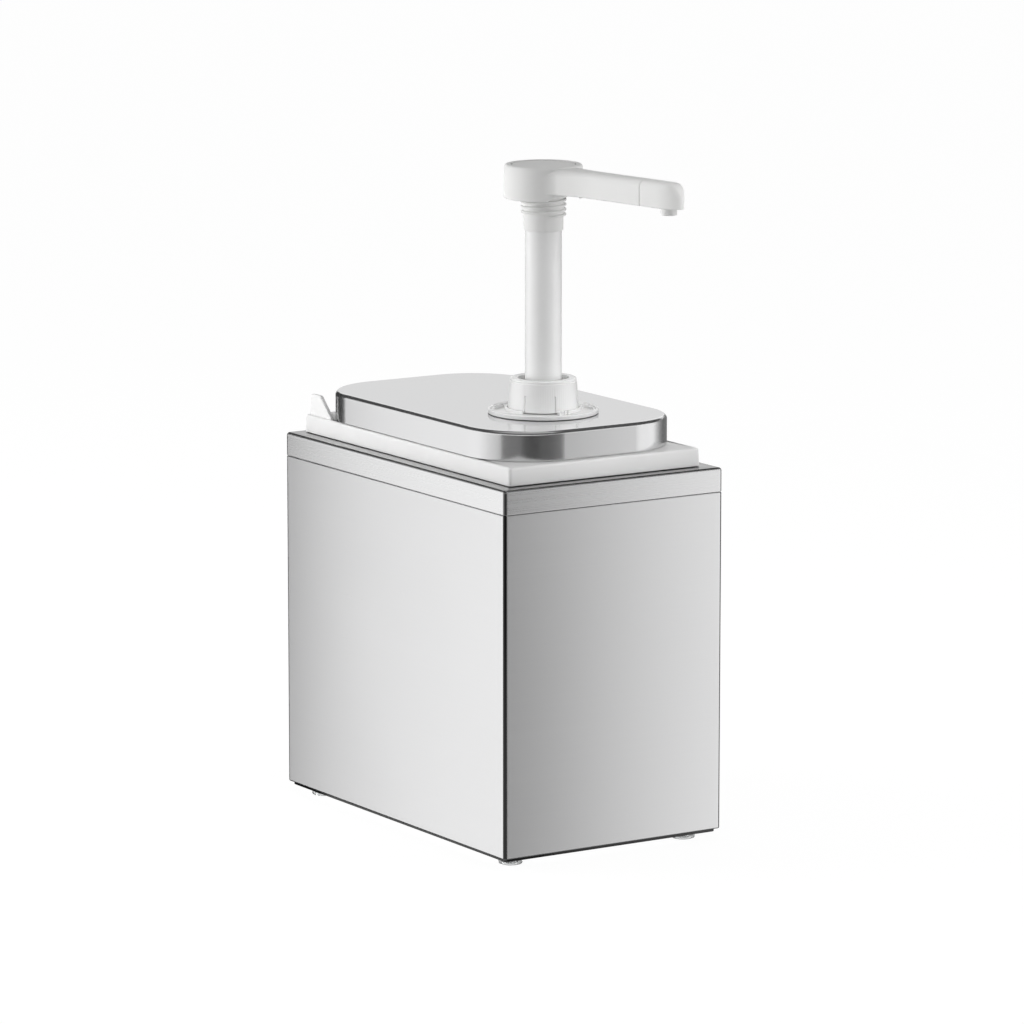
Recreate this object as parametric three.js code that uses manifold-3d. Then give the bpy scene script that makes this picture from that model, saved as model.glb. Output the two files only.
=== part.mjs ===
// Sauce pump dispenser: a steel housing, a plastic container hanging in it, a steel lid and a hand pump.
// Millimetres, +Z up. The spout points to -Y, the front. The model stands on z = 0.

import * as THREE from 'three';
import { mergeVertices } from 'three/addons/utils/BufferGeometryUtils.js';
import Module from 'manifold-3d';

const wasm = await Module();
wasm.setup();

// Sizes, each named for the piece that it belongs to.

const seatGap = 0.3; // between pieces that rest on or sit in each other
const overrun = 2; // how far a cutting shape runs past what it cuts
const degree = Math.PI / 180;

const housing = {
  width: 162,
  depth: 265,
  height: 232,
  sheet: 1.2,
  cornerRadius: 2.2,
  edgeRadius: 0.8,
  returnMargin: 6,
  lipGap: 5.1,
};

const frame = {
  bandHeight: 15.3,
  edgeRadius: 1.4,
  flangeWidth: 12.6,
};

const basePlate = {
  inset: 3.5,
  thickness: 2.4,
};

const foot = {
  radius: 7.8,
  height: 4.9,
  setInAcross: 16.2,
  setInAlong: 18.4,
  edgeRadius: 0.7,
  headClearance: 0.8,
  headCover: 0.2,
};

const footScrew = {
  shankRadius: 2,
  reachPastNut: 1.6,
  headRadius: 3.8,
  headHeight: 1.3,
  nutAcrossFlats: 7,
  nutHeight: 3,
};

const container = {
  sideClearance: 0.7,
  endClearance: 4.6,
  rimSideMargin: 0.4,
  rimEndMargin: 5.8,
  rimFlare: 0.5,
  rimHeight: 11.5,
  rimCornerRadius: 1.6,
  rimEdgeRadius: 0.8,
  rimOffset: 1.4,
  wall: 2.4,
  lipHeight: 8,
  lipStep: 1,
  lipClearance: 0.5,
  baseClearance: 29.8,
  draft: 3.2,
  floorRadius: 9,
};

const lug = {
  lidClearance: 3.9,
  topLength: 10.5,
  height: 13.8,
  thickness: 2.6,
  setIn: 1.6,
  topRadius: 3.4,
  rearLean: 1,
};

const lid = {
  height: 18.6,
  sheet: 0.9,
  cornerRadius: 43.5,
  edgeRadius: 3.2,
};

const pump = {
  forward: 50.5, // from the middle of the housing to the pump's axis
  stroke: 100,
  headTurn: 8, // degrees that the spout is turned at rest
};

const flange = {
  radius: 35,
  thickness: 1.7,
  beadHeight: 0.5,
  beadWidth: 1.6,
  neckHeight: 13.4,
  neckWall: 1.6,
  threadDepth: 0.7,
  threadPitch: 3.6,
  spigotDepth: 9,
  guardGap: 0.5,
  guardWall: 1.5,
  guardHeight: 2.1,
  guardOpening: 56,
  guardOpeningAt: -128,
  slotMargin: 1.8,
  slotWidth: 5.4,
  slotSpan: 38,
  toothCount: 3,
  toothLength: 1.9,
  toothStep: 6.5,
};
const slotAngles = [-17, 133]; // degrees, the middle of each kidney slot
const toothStartAngle = -96;

const lockRing = {
  width: 8.5,
  height: 5.4,
  gripCount: 12,
  gripRadius: 2.2,
};

const lidGasket = {
  width: 7.5,
  thickness: 1.5,
};

const nut = {
  sideWall: 1.4,
  taper: 1.3,
  chamfer: 0.9,
  topWall: 2.8,
  mouthClearance: 1.3,
  skirtClearance: 0.4,
  slotCount: 7,
  slotWidth: 1,
  slotHeight: 10.6,
  slotAt: -102,
};

const barrel = {
  stemSpace: 2.4,
  mouthStep: 1,
  wall: 1.8,
  mouthWall: 1.6,
  mouthDepth: 22,
  rimReach: 1.8,
  rimThickness: 2.3,
  floor: 3,
  portRadius: 2.3,
  portCircle: 6.6,
  portCount: 4,
  socketDepth: 14,
};

const barrelGasket = {
  thickness: 1.2,
};

const guide = {
  height: 10,
  stemClearance: 0.3,
  wiperHeight: 2.2,
};

const stem = {
  radius: 11.6,
  wall: 3.1,
};

const piston = {
  height: 14,
  clearance: 0.3,
  guideGap: 3.6,
  spigotHeight: 9,
  spigotWall: 1.4,
  portRadius: 3.6,
  seatHeight: 6,
  grooveHeight: 3.2,
  grooveDepth: 1.9,
};

const outletBall = {
  radius: 5,
};

const cage = {
  thickness: 2.4,
  holeRadius: 1.7,
  holeCircle: 3.8,
  holeCount: 4,
};

const spring = {
  barrelClearance: 2.6,
  wireRadius: 0.8,
  turns: 12,
  reserve: 2.5,
  stepsPerTurn: 8,
  sides: 5,
};

const footValve = {
  ballClearance: 3.4,
  ballCover: 0.2,
  floor: 2.4,
  seatRadius: 4,
  barbRadius: 6.2,
  barbBore: 4,
  barbLength: 14,
  ringHeight: 1.8,
};

const inletBall = {
  radius: 5.6,
};

const dipTube = {
  wall: 1.8,
  floorGap: 7,
};

const sleeve = {
  wall: 0.9,
  taper: 0.3,
  plainHeight: 8.9,
  reachBelowHead: 10.5,
  insertion: 5.2,
  ridgeHeight: 1.9,
  threadPitch: 3.1,
  ridgeThickness: 1.5,
  ridgeCount: 4,
  stemClearance: 0.3,
};

const head = {
  nutClearance: 13.5, // left between the head and the nut when the pump is pressed down
  topRadius: 24.3,
  flare: 0.6,
  height: 22.2,
  edgeRadius: 2.6,
  skirtWall: 2,
  bossWall: 3.5,
  hollowDepth: 15.5,
  notchHalfWidth: 9,
  notchFootHalfWidth: 15,
  chamberStep: 0.5,
  ledge: 1,
};

const headCap = {
  margin: 3.8,
  thickness: 1.6,
};

const arm = {
  width: 15.6,
  height: 16.4,
  topDrop: 1.1, // how far the arm's top lies below the head's
  reach: 100.5, // from the pump's axis to the elbow's joint
  blendRadius: 22,
  edgeRadius: 4.4,
  channelRadius: 4.4,
  socketRadius: 5.5,
};

const elbow = {
  length: 24,
  noseRadius: 9.5,
  spigotLength: 10,
  spigotBore: 3.4,
};

const outlet = {
  setBack: 7.4, // from the elbow's end to the outlet's axis
  radius: 5,
  boreRadius: 3.4,
  reachBelow: 4.4,
  depthInside: 6.5,
};

const oRing = {
  thickness: 1.8,
};

// Counts of flat faces round each kind of curve.

const roundSides = 32;
const hiddenSides = 24;
const smallSides = 20;
const cornerSteps = 7;
const sheetCornerSteps = 3;
const edgeSteps = 3;

// Widths and radii that follow from the sizes.

const openingWidth = housing.width - 2 * frame.flangeWidth;
const openingDepth = housing.depth - 2 * frame.flangeWidth;
const returnWidth = Math.max(foot.setInAcross, foot.setInAlong) + housing.returnMargin;
const tubWidth = openingWidth - 2 * container.sideClearance;
const tubDepth = openingDepth - 2 * container.endClearance;
const lidOverhang = container.lipStep + container.lipClearance + lid.sheet;
const lidWidth = tubWidth + 2 * lidOverhang;
const lidDepth = tubDepth + 2 * lidOverhang;
const rimWidth = lidWidth + 2 * container.rimSideMargin;
const rimDepth = lidDepth + 2 * container.rimEndMargin;
const lipWall = container.lipStep + container.wall;
const screwHole = footScrew.shankRadius + seatGap;
const stemBore = stem.radius - stem.wall;
const stemHole = stem.radius + guide.stemClearance;
const boreRadius = stem.radius + barrel.stemSpace;
const mouthBore = boreRadius + barrel.mouthStep;
const mouthRadius = mouthBore + barrel.mouthWall;
const barrelRimRadius = mouthRadius + barrel.rimReach;
const socketBore = boreRadius - barrel.wall;
const valveRadius = socketBore - seatGap;
const valveChamber = inletBall.radius + footValve.ballClearance;
const coilRadius = boreRadius - spring.barrelClearance - spring.wireRadius;
const neckBore = mouthRadius + seatGap;
const neckRadius = neckBore + flange.neckWall;
const nutBore = neckRadius + flange.threadDepth + nut.skirtClearance;
const nutTopRadius = nutBore + nut.sideWall;
const nutBottomRadius = nutTopRadius + nut.taper;
const guardInner = nutBottomRadius + flange.guardGap;
const guardOuter = guardInner + flange.guardWall;
const sleeveRadius = stem.radius + sleeve.stemClearance + sleeve.wall;
const threadRadius = sleeveRadius + sleeve.ridgeHeight;
const nutMouth = threadRadius + nut.mouthClearance;
const headBottomRadius = head.topRadius + head.flare;
const bossRadius = stem.radius + seatGap + head.bossWall;
const capRadius = head.topRadius - headCap.margin;
const spigotRadius = arm.socketRadius - seatGap;

// Heights that follow from the sizes.

const bodyBottom = foot.height + basePlate.thickness;
const seamHeight = bodyBottom + housing.height - frame.bandHeight;
const frameTop = bodyBottom + housing.height;
const deckHeight = frameTop + seatGap + container.rimHeight;
const tubBottom = bodyBottom + container.baseClearance;
const lidBottom = deckHeight + seatGap;
const lidTop = lidBottom + lid.height;
const flangeBottom = lidTop + seatGap;
const flangeTop = flangeBottom + flange.thickness;
const neckTop = flangeTop + flange.neckHeight;
const barrelRimBottom = neckTop + seatGap + barrelGasket.thickness + seatGap;
const barrelTop = barrelRimBottom + barrel.rimThickness;
const nutBottom = flangeTop + 2 * seatGap;
const nutTop = barrelTop + seatGap + nut.topWall;
const guideBottom = barrelTop - barrel.mouthDepth + seatGap;
const pistonTop = guideBottom - piston.guideGap;
const pistonBottom = pistonTop - piston.height;
const pressedSpring = 2 * spring.wireRadius * (spring.turns + 1) + spring.reserve;
const barrelFloorTop = pistonBottom - pump.stroke - pressedSpring;
const socketTop = barrelFloorTop - barrel.floor;
const barrelBottom = socketTop - barrel.socketDepth;
const valveTop = socketTop - 2 * seatGap - footValve.ringHeight;
const valveSeat = valveTop - 2 * inletBall.radius - footValve.ballCover;
const headBottom = nutTop + pump.stroke + head.nutClearance;
const headTop = headBottom + head.height;
const armTop = headTop - arm.topDrop;
const armBottom = armTop - arm.height;
const channelHeight = armBottom + arm.height / 2;
const sleeveTop = headBottom + sleeve.insertion;
const ringSeat = channelHeight - arm.channelRadius - head.ledge;
const stemTop = ringSeat - oRing.thickness - 2 * seatGap;

// Shared shapes.

function weld(geometry) {
  geometry.deleteAttribute('normal');
  geometry.deleteAttribute('uv');
  const merged = mergeVertices(geometry, seatGap / 1000);
  const places = merged.getAttribute('position').array;
  const kept = [];
  const order = merged.index.array;
  for (let i = 0; i < order.length; i += 3) {
    const [a, b, c] = [order[i], order[i + 1], order[i + 2]];
    if (a !== b && b !== c && c !== a) kept.push(a, b, c);
  }
  if (signedVolume(places, kept) < 0) kept.reverse();
  const welded = new THREE.BufferGeometry();
  welded.setAttribute('position', new THREE.BufferAttribute(places, 3));
  welded.setIndex(kept);
  return welded;
}

function signedVolume(places, order) {
  const [a, b, c] = [new THREE.Vector3(), new THREE.Vector3(), new THREE.Vector3()];
  let total = 0;
  for (let i = 0; i < order.length; i += 3) {
    a.fromArray(places, 3 * order[i]);
    b.fromArray(places, 3 * order[i + 1]);
    c.fromArray(places, 3 * order[i + 2]);
    total += a.dot(b.cross(c)) / 6;
  }
  return total;
}

function toSolid(geometry) {
  const welded = weld(geometry.clone());
  return new wasm.Manifold(new wasm.Mesh({
    numProp: 3,
    vertProperties: new Float32Array(welded.getAttribute('position').array),
    triVerts: new Uint32Array(welded.index.array),
  }));
}

function toGeometry(solid) {
  const mesh = solid.getMesh();
  const geometry = new THREE.BufferGeometry();
  geometry.setAttribute('position', new THREE.BufferAttribute(mesh.vertProperties, 3));
  geometry.setIndex(new THREE.BufferAttribute(mesh.triVerts, 1));
  return geometry;
}

function join(...shapes) {
  return toGeometry(shapes.map(toSolid).reduce((whole, next) => whole.add(next)));
}

function cut(shape, ...tools) {
  return toGeometry(tools.map(toSolid).reduce((rest, tool) => rest.subtract(tool), toSolid(shape)));
}

function keepInside(shape, limit) {
  return toGeometry(toSolid(shape).intersect(toSolid(limit)));
}

// A profile of [radius, height] points turned about the upright axis.
function revolve(profile, sides = roundSides) {
  const points = profile.map(([radius, height]) => new THREE.Vector2(radius, height));
  const startsOnAxis = profile[0][0] === 0;
  if (!startsOnAxis) points.push(points[0].clone());
  return weld(new THREE.LatheGeometry(points, sides).rotateX(Math.PI / 2));
}

function ringSolid(innerRadius, outerRadius, bottom, top, sides = roundSides) {
  const outside = [[outerRadius, bottom], [outerRadius, top]];
  return revolve([[innerRadius, bottom], ...outside, [innerRadius, top]], sides);
}

function rod(radius, bottom, top, sides = smallSides) {
  return revolve([[0, bottom], [radius, bottom], [radius, top], [0, top]], sides);
}

function block(width, depth, bottom, top) {
  return new THREE.BoxGeometry(width, depth, top - bottom).translate(0, 0, (bottom + top) / 2);
}

// A quarter round from one point to another, bulging to the corner that both point at.
function quarterRound(fromPoint, toPoint, corner, steps = edgeSteps) {
  const points = [];
  for (let i = 0; i <= steps; i += 1) {
    const angle = (i / steps) * (Math.PI / 2);
    const [forward, back] = [Math.sin(angle), Math.cos(angle)];
    points.push([0, 1].map((k) => {
      const centre = fromPoint[k] + toPoint[k] - corner[k];
      return centre + (fromPoint[k] - centre) * back + (toPoint[k] - centre) * forward;
    }));
  }
  return points;
}

// A level outline of a rounded rectangle, always with as many points.
function roundedOutline({ width, depth, radius, height, steps = cornerSteps }) {
  const points = [];
  const corners = [[1, -1, -1], [1, 1, 0], [-1, 1, 1], [-1, -1, 2]];
  for (const [sideX, sideY, quarter] of corners) {
    for (let i = 0; i <= steps; i += 1) {
      const angle = (quarter + i / steps) * (Math.PI / 2);
      const x = sideX * (width / 2 - radius) + radius * Math.cos(angle);
      const y = sideY * (depth / 2 - radius) + radius * Math.sin(angle);
      points.push(new THREE.Vector3(x, y, height));
    }
  }
  return points;
}

// Level outlines joined into one body. The first and last are closed with flat caps, unless they meet.
function loft(outlines, meets = false) {
  const count = outlines[0].length;
  const places = outlines.flat().flatMap((point) => point.toArray());
  const order = [];
  const last = meets ? outlines.length : outlines.length - 1;
  for (let level = 0; level < last; level += 1) {
    const next = (level + 1) % outlines.length;
    for (let i = 0; i < count; i += 1) {
      const j = (i + 1) % count;
      const [a, b] = [level * count + i, level * count + j];
      const [c, d] = [next * count + i, next * count + j];
      order.push(a, b, d, a, d, c);
    }
  }
  if (!meets) {
    for (const level of [0, outlines.length - 1]) {
      const faces = THREE.ShapeUtils.triangulateShape(outlines[level], []);
      for (const face of faces) {
        const turned = level === 0 ? face.slice().reverse() : face;
        order.push(...turned.map((corner) => level * count + corner));
      }
    }
  }
  const geometry = new THREE.BufferGeometry();
  geometry.setAttribute('position', new THREE.Float32BufferAttribute(places, 3));
  geometry.setIndex(order);
  return weld(geometry);
}

// A shell round the housing: each section point is [distance in from the outside, height].
function housingShell(section) {
  return loft(section.map(([inset, height]) => roundedOutline({
    width: housing.width - 2 * inset,
    depth: housing.depth - 2 * inset,
    radius: Math.max(housing.cornerRadius - inset, housing.cornerRadius / 4),
    height,
    steps: sheetCornerSteps,
  })), true);
}

const white = { color: 0xe9e9e7, roughness: 0.42, metalness: 0 };
const steel = { color: 0xc9cacb, roughness: 0.34, metalness: 1 };
const polished = { color: 0xd2d3d4, roughness: 0.16, metalness: 1 };
const seal = { color: 0x8c8f92, roughness: 0.7, metalness: 0 };
const clear = { color: 0xc4c7c8, roughness: 0.4, metalness: 0 };

function part(name, geometry, finish) {
  const mesh = new THREE.Mesh(geometry, new THREE.MeshStandardMaterial(finish));
  mesh.name = name;
  return mesh;
}

// Housing

function makeHousingBody() {
  const lipInset = housing.sheet + seatGap;
  const seam = seamHeight - seatGap;
  const lipTop = frameTop - housing.sheet - housing.lipGap;
  return housingShell([
    [returnWidth, bodyBottom],
    ...quarterRound([housing.edgeRadius, bodyBottom], [0, bodyBottom + housing.edgeRadius], [0, bodyBottom]),
    ...quarterRound([0, seam - housing.edgeRadius], [housing.edgeRadius, seam], [0, seam]),
    [lipInset, seam],
    [lipInset, lipTop],
    [lipInset + housing.sheet, lipTop],
    [lipInset + housing.sheet, seam - housing.sheet],
    [housing.sheet, seam - housing.sheet],
    [housing.sheet, bodyBottom + housing.sheet],
    [returnWidth, bodyBottom + housing.sheet],
  ]);
}

function makeTopFrame() {
  return housingShell([
    [housing.sheet, seamHeight],
    [0, seamHeight],
    ...quarterRound([0, frameTop - frame.edgeRadius], [frame.edgeRadius, frameTop], [0, frameTop]),
    [frame.flangeWidth, frameTop],
    [frame.flangeWidth, frameTop - housing.sheet],
    [housing.sheet, frameTop - housing.sheet],
  ]);
}

function footPlaces() {
  const across = housing.width / 2 - foot.setInAcross;
  const along = housing.depth / 2 - foot.setInAlong;
  return [
    ['front_left', -across, -along],
    ['front_right', across, -along],
    ['rear_left', -across, along],
    ['rear_right', across, along],
  ];
}

function makeBasePlate() {
  const plate = {
    width: housing.width - 2 * basePlate.inset,
    depth: housing.depth - 2 * basePlate.inset,
    radius: housing.cornerRadius,
    steps: sheetCornerSteps,
  };
  const [bottom, top] = [foot.height + seatGap, foot.height + basePlate.thickness - seatGap];
  const sheet = loft([bottom, top].map((height) => roundedOutline({ ...plate, height })));
  const holes = footPlaces().map(([, x, y]) => (
    rod(screwHole, bottom - overrun, top + overrun, hiddenSides / 2).translate(x, y, 0)
  ));
  return cut(sheet, ...holes);
}

function makeFoot() {
  const { radius, height, edgeRadius } = foot;
  const recessRadius = footScrew.headRadius + foot.headClearance;
  const recessDepth = foot.headCover + footScrew.headHeight + seatGap;
  return revolve([
    [recessRadius, 0],
    ...quarterRound([radius - edgeRadius, 0], [radius, edgeRadius], [radius, 0]),
    [radius, height],
    [screwHole, height],
    [screwHole, recessDepth],
    [recessRadius, recessDepth],
  ], smallSides);
}

function makeFootScrew() {
  const underside = foot.headCover;
  const shoulder = foot.headCover + footScrew.headHeight;
  const tip = footNutBottom() + footScrew.nutHeight + footScrew.reachPastNut;
  return revolve([
    [0, underside],
    [footScrew.headRadius - footScrew.headHeight / 2, underside],
    [footScrew.headRadius, shoulder],
    [footScrew.shankRadius, shoulder],
    [footScrew.shankRadius, tip],
    [0, tip],
  ], hiddenSides / 2);
}

function footNutBottom() {
  return bodyBottom + housing.sheet + seatGap;
}

function makeFootNut() {
  const [bottom, top] = [footNutBottom(), footNutBottom() + footScrew.nutHeight];
  const hexagon = rod(footScrew.nutAcrossFlats / 2 / Math.cos(Math.PI / 6), bottom, top, 6);
  return cut(hexagon, rod(screwHole, bottom - overrun, top + overrun, hiddenSides / 2));
}

// The folded-in foot of the housing is drilled for the screws.
function drilledBody() {
  const bottom = bodyBottom - overrun;
  const top = bodyBottom + housing.sheet + overrun;
  const holes = footPlaces().map(([, x, y]) => (
    rod(screwHole, bottom, top, hiddenSides / 2).translate(x, y, 0)
  ));
  return cut(makeHousingBody(), ...holes);
}

function makeHousing() {
  const group = new THREE.Group();
  group.add(part('housing_body', drilledBody(), steel));
  group.add(part('housing_top_frame', makeTopFrame(), steel));
  group.add(part('base_plate', makeBasePlate(), steel));
  for (const [where, x, y] of footPlaces()) {
    const pieces = [
      part(`foot_${where}`, makeFoot(), clear),
      part(`foot_screw_${where}`, makeFootScrew(), steel),
      part(`foot_nut_${where}`, makeFootNut(), steel),
    ];
    for (const piece of pieces) {
      piece.position.set(x, y, 0);
      group.add(piece);
    }
  }
  return group;
}

// Container

function lipOutline(inset, height) {
  return lidOutline(lid.sheet + container.lipClearance + inset, height);
}

function rimOutline(inset, height, flare = 0) {
  return roundedOutline({
    width: rimWidth + 2 * (flare - inset),
    depth: rimDepth + 2 * (flare - inset),
    radius: container.rimCornerRadius,
    height,
  });
}

function makeTub() {
  const { wall, draft, floorRadius, rimEdgeRadius } = container;
  const underDeck = deckHeight - wall;
  const rimBottom = frameTop + seatGap;
  const outside = container.lipStep;
  const floorEdge = quarterRound(
    [outside + draft + floorRadius, tubBottom],
    [outside + draft, tubBottom + floorRadius],
    [outside + draft, tubBottom],
  );
  const insideEdge = quarterRound(
    [lipWall + draft, tubBottom + wall + floorRadius],
    [lipWall + draft + floorRadius, tubBottom + wall],
    [lipWall + draft, tubBottom + wall],
  );
  const rimEdge = quarterRound([rimEdgeRadius, deckHeight], [0, deckHeight - rimEdgeRadius], [0, deckHeight]);
  return loft([
    ...floorEdge.map(([inset, height]) => lipOutline(inset, height)),
    lipOutline(outside, underDeck),
    rimOutline(wall, underDeck),
    rimOutline(wall, rimBottom, container.rimFlare),
    rimOutline(0, rimBottom, container.rimFlare),
    ...rimEdge.reverse().map(([inset, height]) => rimOutline(inset, height)),
    lipOutline(0, deckHeight),
    lipOutline(0, deckHeight + container.lipHeight),
    lipOutline(lipWall, deckHeight + container.lipHeight),
    ...insideEdge.map(([inset, height]) => lipOutline(inset, height)),
  ]);
}

// How long a lug can be before it comes too near the lid's rounded corner.
function lugLength() {
  const innerFace = rimWidth / 2 - lug.setIn - lug.thickness;
  const sideways = innerFace - (lidWidth / 2 - lid.cornerRadius);
  const backwards = Math.sqrt(Math.max(lid.cornerRadius ** 2 - sideways ** 2, 0));
  const lidEnd = lidDepth / 2 - lid.cornerRadius + backwards;
  return rimDepth / 2 - lug.setIn - lidEnd - lug.lidClearance;
}

// An upright lug on the rim, as its outline seen from the side: along the rim and up.
function makeLug(side) {
  const { topLength, height, thickness, setIn, topRadius, rearLean } = lug;
  const baseLength = lugLength();
  const sunk = container.wall / 2;
  const outline = new THREE.Shape();
  outline.moveTo(0, -sunk);
  outline.lineTo(-baseLength, -sunk);
  outline.lineTo(-baseLength, 0);
  outline.lineTo(-topLength - topRadius, height - topRadius);
  outline.quadraticCurveTo(-topLength, height, -topLength + topRadius, height);
  outline.lineTo(-rearLean - topRadius, height);
  outline.quadraticCurveTo(-rearLean, height, -rearLean, height - topRadius);
  outline.lineTo(0, 0);
  const options = { depth: thickness, bevelEnabled: false, curveSegments: edgeSteps };
  const plate = new THREE.ExtrudeGeometry(outline, options);
  plate.rotateX(Math.PI / 2).rotateZ(Math.PI / 2);
  const x = side * (rimWidth / 2 - setIn - thickness / 2) - thickness / 2;
  return plate.translate(x, rimDepth / 2 - setIn, deckHeight);
}

function makeContainer() {
  const tub = join(makeTub(), makeLug(-1), makeLug(1));
  const mesh = part('container', tub, white);
  mesh.position.y = container.rimOffset;
  return mesh;
}

// Lid

function lidOutline(inset, height) {
  return roundedOutline({
    width: lidWidth - 2 * inset,
    depth: lidDepth - 2 * inset,
    radius: lid.cornerRadius - inset,
    height,
  });
}

function makeLid() {
  const { sheet, edgeRadius } = lid;
  const outerEdge = quarterRound([edgeRadius, lidTop], [0, lidTop - edgeRadius], [0, lidTop]);
  const inside = lidTop - sheet;
  const innerEdge = quarterRound([sheet, lidTop - edgeRadius], [edgeRadius, inside], [sheet, inside]);
  const cover = loft([
    ...outerEdge.map(([inset, height]) => lidOutline(inset, height)),
    lidOutline(0, lidBottom),
    lidOutline(sheet, lidBottom),
    ...innerEdge.map(([inset, height]) => lidOutline(inset, height)),
  ]);
  const hole = rod(neckRadius + seatGap, lidBottom, lidTop + overrun, roundSides);
  const mesh = part('lid', cut(cover, hole.translate(0, -pump.forward - container.rimOffset, 0)), polished);
  mesh.position.y = container.rimOffset;
  return mesh;
}

// Pump, built about its own upright axis

// A slot that follows an arc, as a flat outline raised through the disc.
function arcBlock(innerRadius, outerRadius, middle, span, bottom, top) {
  const [start, end] = [(middle - span / 2) * degree, (middle + span / 2) * degree];
  const outline = new THREE.Shape();
  outline.absarc(0, 0, outerRadius, start, end, false);
  outline.absarc(0, 0, innerRadius, end, start, true);
  const curveSegments = Math.max(cornerSteps, Math.ceil(roundSides * span / 360));
  const options = { depth: top - bottom, bevelEnabled: false, curveSegments };
  return new THREE.ExtrudeGeometry(outline, options).translate(0, 0, bottom);
}

function threadedNeckProfile() {
  const count = Math.floor((flange.neckHeight - flange.threadPitch) / flange.threadPitch);
  const points = [];
  for (let i = 0; i < count; i += 1) {
    const start = flangeTop + flange.threadPitch * (i + 0.7);
    points.push([neckRadius, start]);
    points.push([neckRadius + flange.threadDepth, start + flange.threadPitch * 0.35]);
    points.push([neckRadius, start + flange.threadPitch * 0.7]);
  }
  return points;
}

function makeFlange() {
  const bead = flangeTop + flange.beadHeight;
  const spigotBottom = flangeBottom - lid.sheet - flange.spigotDepth;
  const turned = revolve([
    [neckBore, spigotBottom],
    [neckRadius, spigotBottom],
    [neckRadius, flangeBottom],
    [flange.radius, flangeBottom],
    [flange.radius, bead],
    [flange.radius - flange.beadWidth, bead],
    [flange.radius - flange.beadWidth, flangeTop],
    [neckRadius, flangeTop],
    ...threadedNeckProfile(),
    [neckRadius, neckTop],
    [neckBore, neckTop],
  ]);
  const [low, high] = [flangeBottom - overrun, flangeTop + overrun];
  const slotOuter = flange.radius - flange.beadWidth - flange.slotMargin;
  const slots = slotAngles.map((angle) => (
    arcBlock(slotOuter - flange.slotWidth, slotOuter, angle, flange.slotSpan, low, high)
  ));
  const sunk = flangeTop - flange.thickness / 2;
  const guardTop = flangeTop + flange.guardHeight;
  const guardSpan = 360 - flange.guardOpening;
  const guard = arcBlock(guardInner, guardOuter, flange.guardOpeningAt + 180, guardSpan, sunk, guardTop);
  const teeth = Array.from({ length: flange.toothCount }, (_, i) => {
    const tooth = block(flange.guardWall, flange.toothLength, sunk, guardTop);
    const angle = (toothStartAngle + flange.toothStep * i) * degree;
    return tooth.translate(guardOuter, 0, 0).rotateZ(angle);
  });
  return join(cut(turned, ...slots), guard, ...teeth);
}

function makeLidGasket() {
  const top = lidTop - lid.sheet - seatGap;
  const bottom = top - lidGasket.thickness;
  return ringSolid(neckRadius + seatGap, neckRadius + lidGasket.width, bottom, top, hiddenSides);
}

function makeLockRing() {
  const top = lidTop - lid.sheet - lidGasket.thickness - 2 * seatGap;
  const bottom = top - lockRing.height;
  const outer = neckRadius + lockRing.width;
  const ring = ringSolid(neckRadius + seatGap, outer, bottom, top, hiddenSides);
  const grips = Array.from({ length: lockRing.gripCount }, (_, i) => (
    rod(lockRing.gripRadius, bottom - overrun, top - lidGasket.thickness, hiddenSides / 2)
      .translate(outer + lockRing.gripRadius / 2, 0, 0)
      .rotateZ((i / lockRing.gripCount) * 2 * Math.PI)
  ));
  return cut(ring, ...grips);
}

function makeNut() {
  const ceiling = nutTop - nut.topWall;
  const body = revolve([
    [nutBore, nutBottom],
    [nutBottomRadius, nutBottom],
    [nutTopRadius, nutTop - nut.chamfer],
    [nutTopRadius - nut.chamfer, nutTop],
    [nutMouth, nutTop],
    [nutMouth, ceiling],
    [nutBore, ceiling],
  ]);
  const skirtWall = nutBottomRadius - nutBore;
  const slots = Array.from({ length: nut.slotCount }, (_, i) => {
    const tool = block(2 * skirtWall, nut.slotWidth, nutBottom - overrun, nutBottom + nut.slotHeight);
    const angle = nut.slotAt * degree + (i / nut.slotCount) * 2 * Math.PI;
    return tool.translate(nutBottomRadius - skirtWall / 2, 0, 0).rotateZ(angle);
  });
  return cut(body, ...slots);
}

function makeBarrelGasket() {
  const bottom = neckTop + seatGap;
  const top = bottom + barrelGasket.thickness;
  return ringSolid(mouthRadius + seatGap, barrelRimRadius, bottom, top, hiddenSides);
}

function makeBarrel() {
  const outer = boreRadius + barrel.wall;
  const mouthBottom = barrelTop - barrel.mouthDepth;
  const shoulder = mouthBottom - barrel.wall;
  const tube = revolve([
    [0, socketTop],
    [socketBore, socketTop],
    [socketBore, barrelBottom],
    [outer, barrelBottom],
    [outer, shoulder],
    [mouthRadius, shoulder + barrel.mouthWall],
    [mouthRadius, barrelRimBottom],
    [barrelRimRadius, barrelRimBottom],
    [barrelRimRadius, barrelTop],
    [mouthBore, barrelTop],
    [mouthBore, mouthBottom],
    [boreRadius, mouthBottom],
    [boreRadius, barrelFloorTop],
    [0, barrelFloorTop],
  ], hiddenSides);
  const ports = Array.from({ length: barrel.portCount }, (_, i) => (
    rod(barrel.portRadius, socketTop - overrun, barrelFloorTop + overrun, hiddenSides / 2)
      .translate(barrel.portCircle, 0, 0)
      .rotateZ((i / barrel.portCount) * 2 * Math.PI)
  ));
  return cut(tube, ...ports);
}

function makeGuide() {
  return ringSolid(stemHole, mouthBore - seatGap, guideBottom, guideBottom + guide.height, hiddenSides);
}

function makeWiper() {
  const bottom = guideBottom + guide.height + seatGap;
  const outer = mouthBore - seatGap;
  const lip = guide.wiperHeight / 2;
  return revolve([
    [stemHole + lip, bottom],
    [outer, bottom],
    [outer, bottom + guide.wiperHeight],
    [stemHole, bottom + guide.wiperHeight],
    [stemHole, bottom + lip],
  ], hiddenSides);
}

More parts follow.
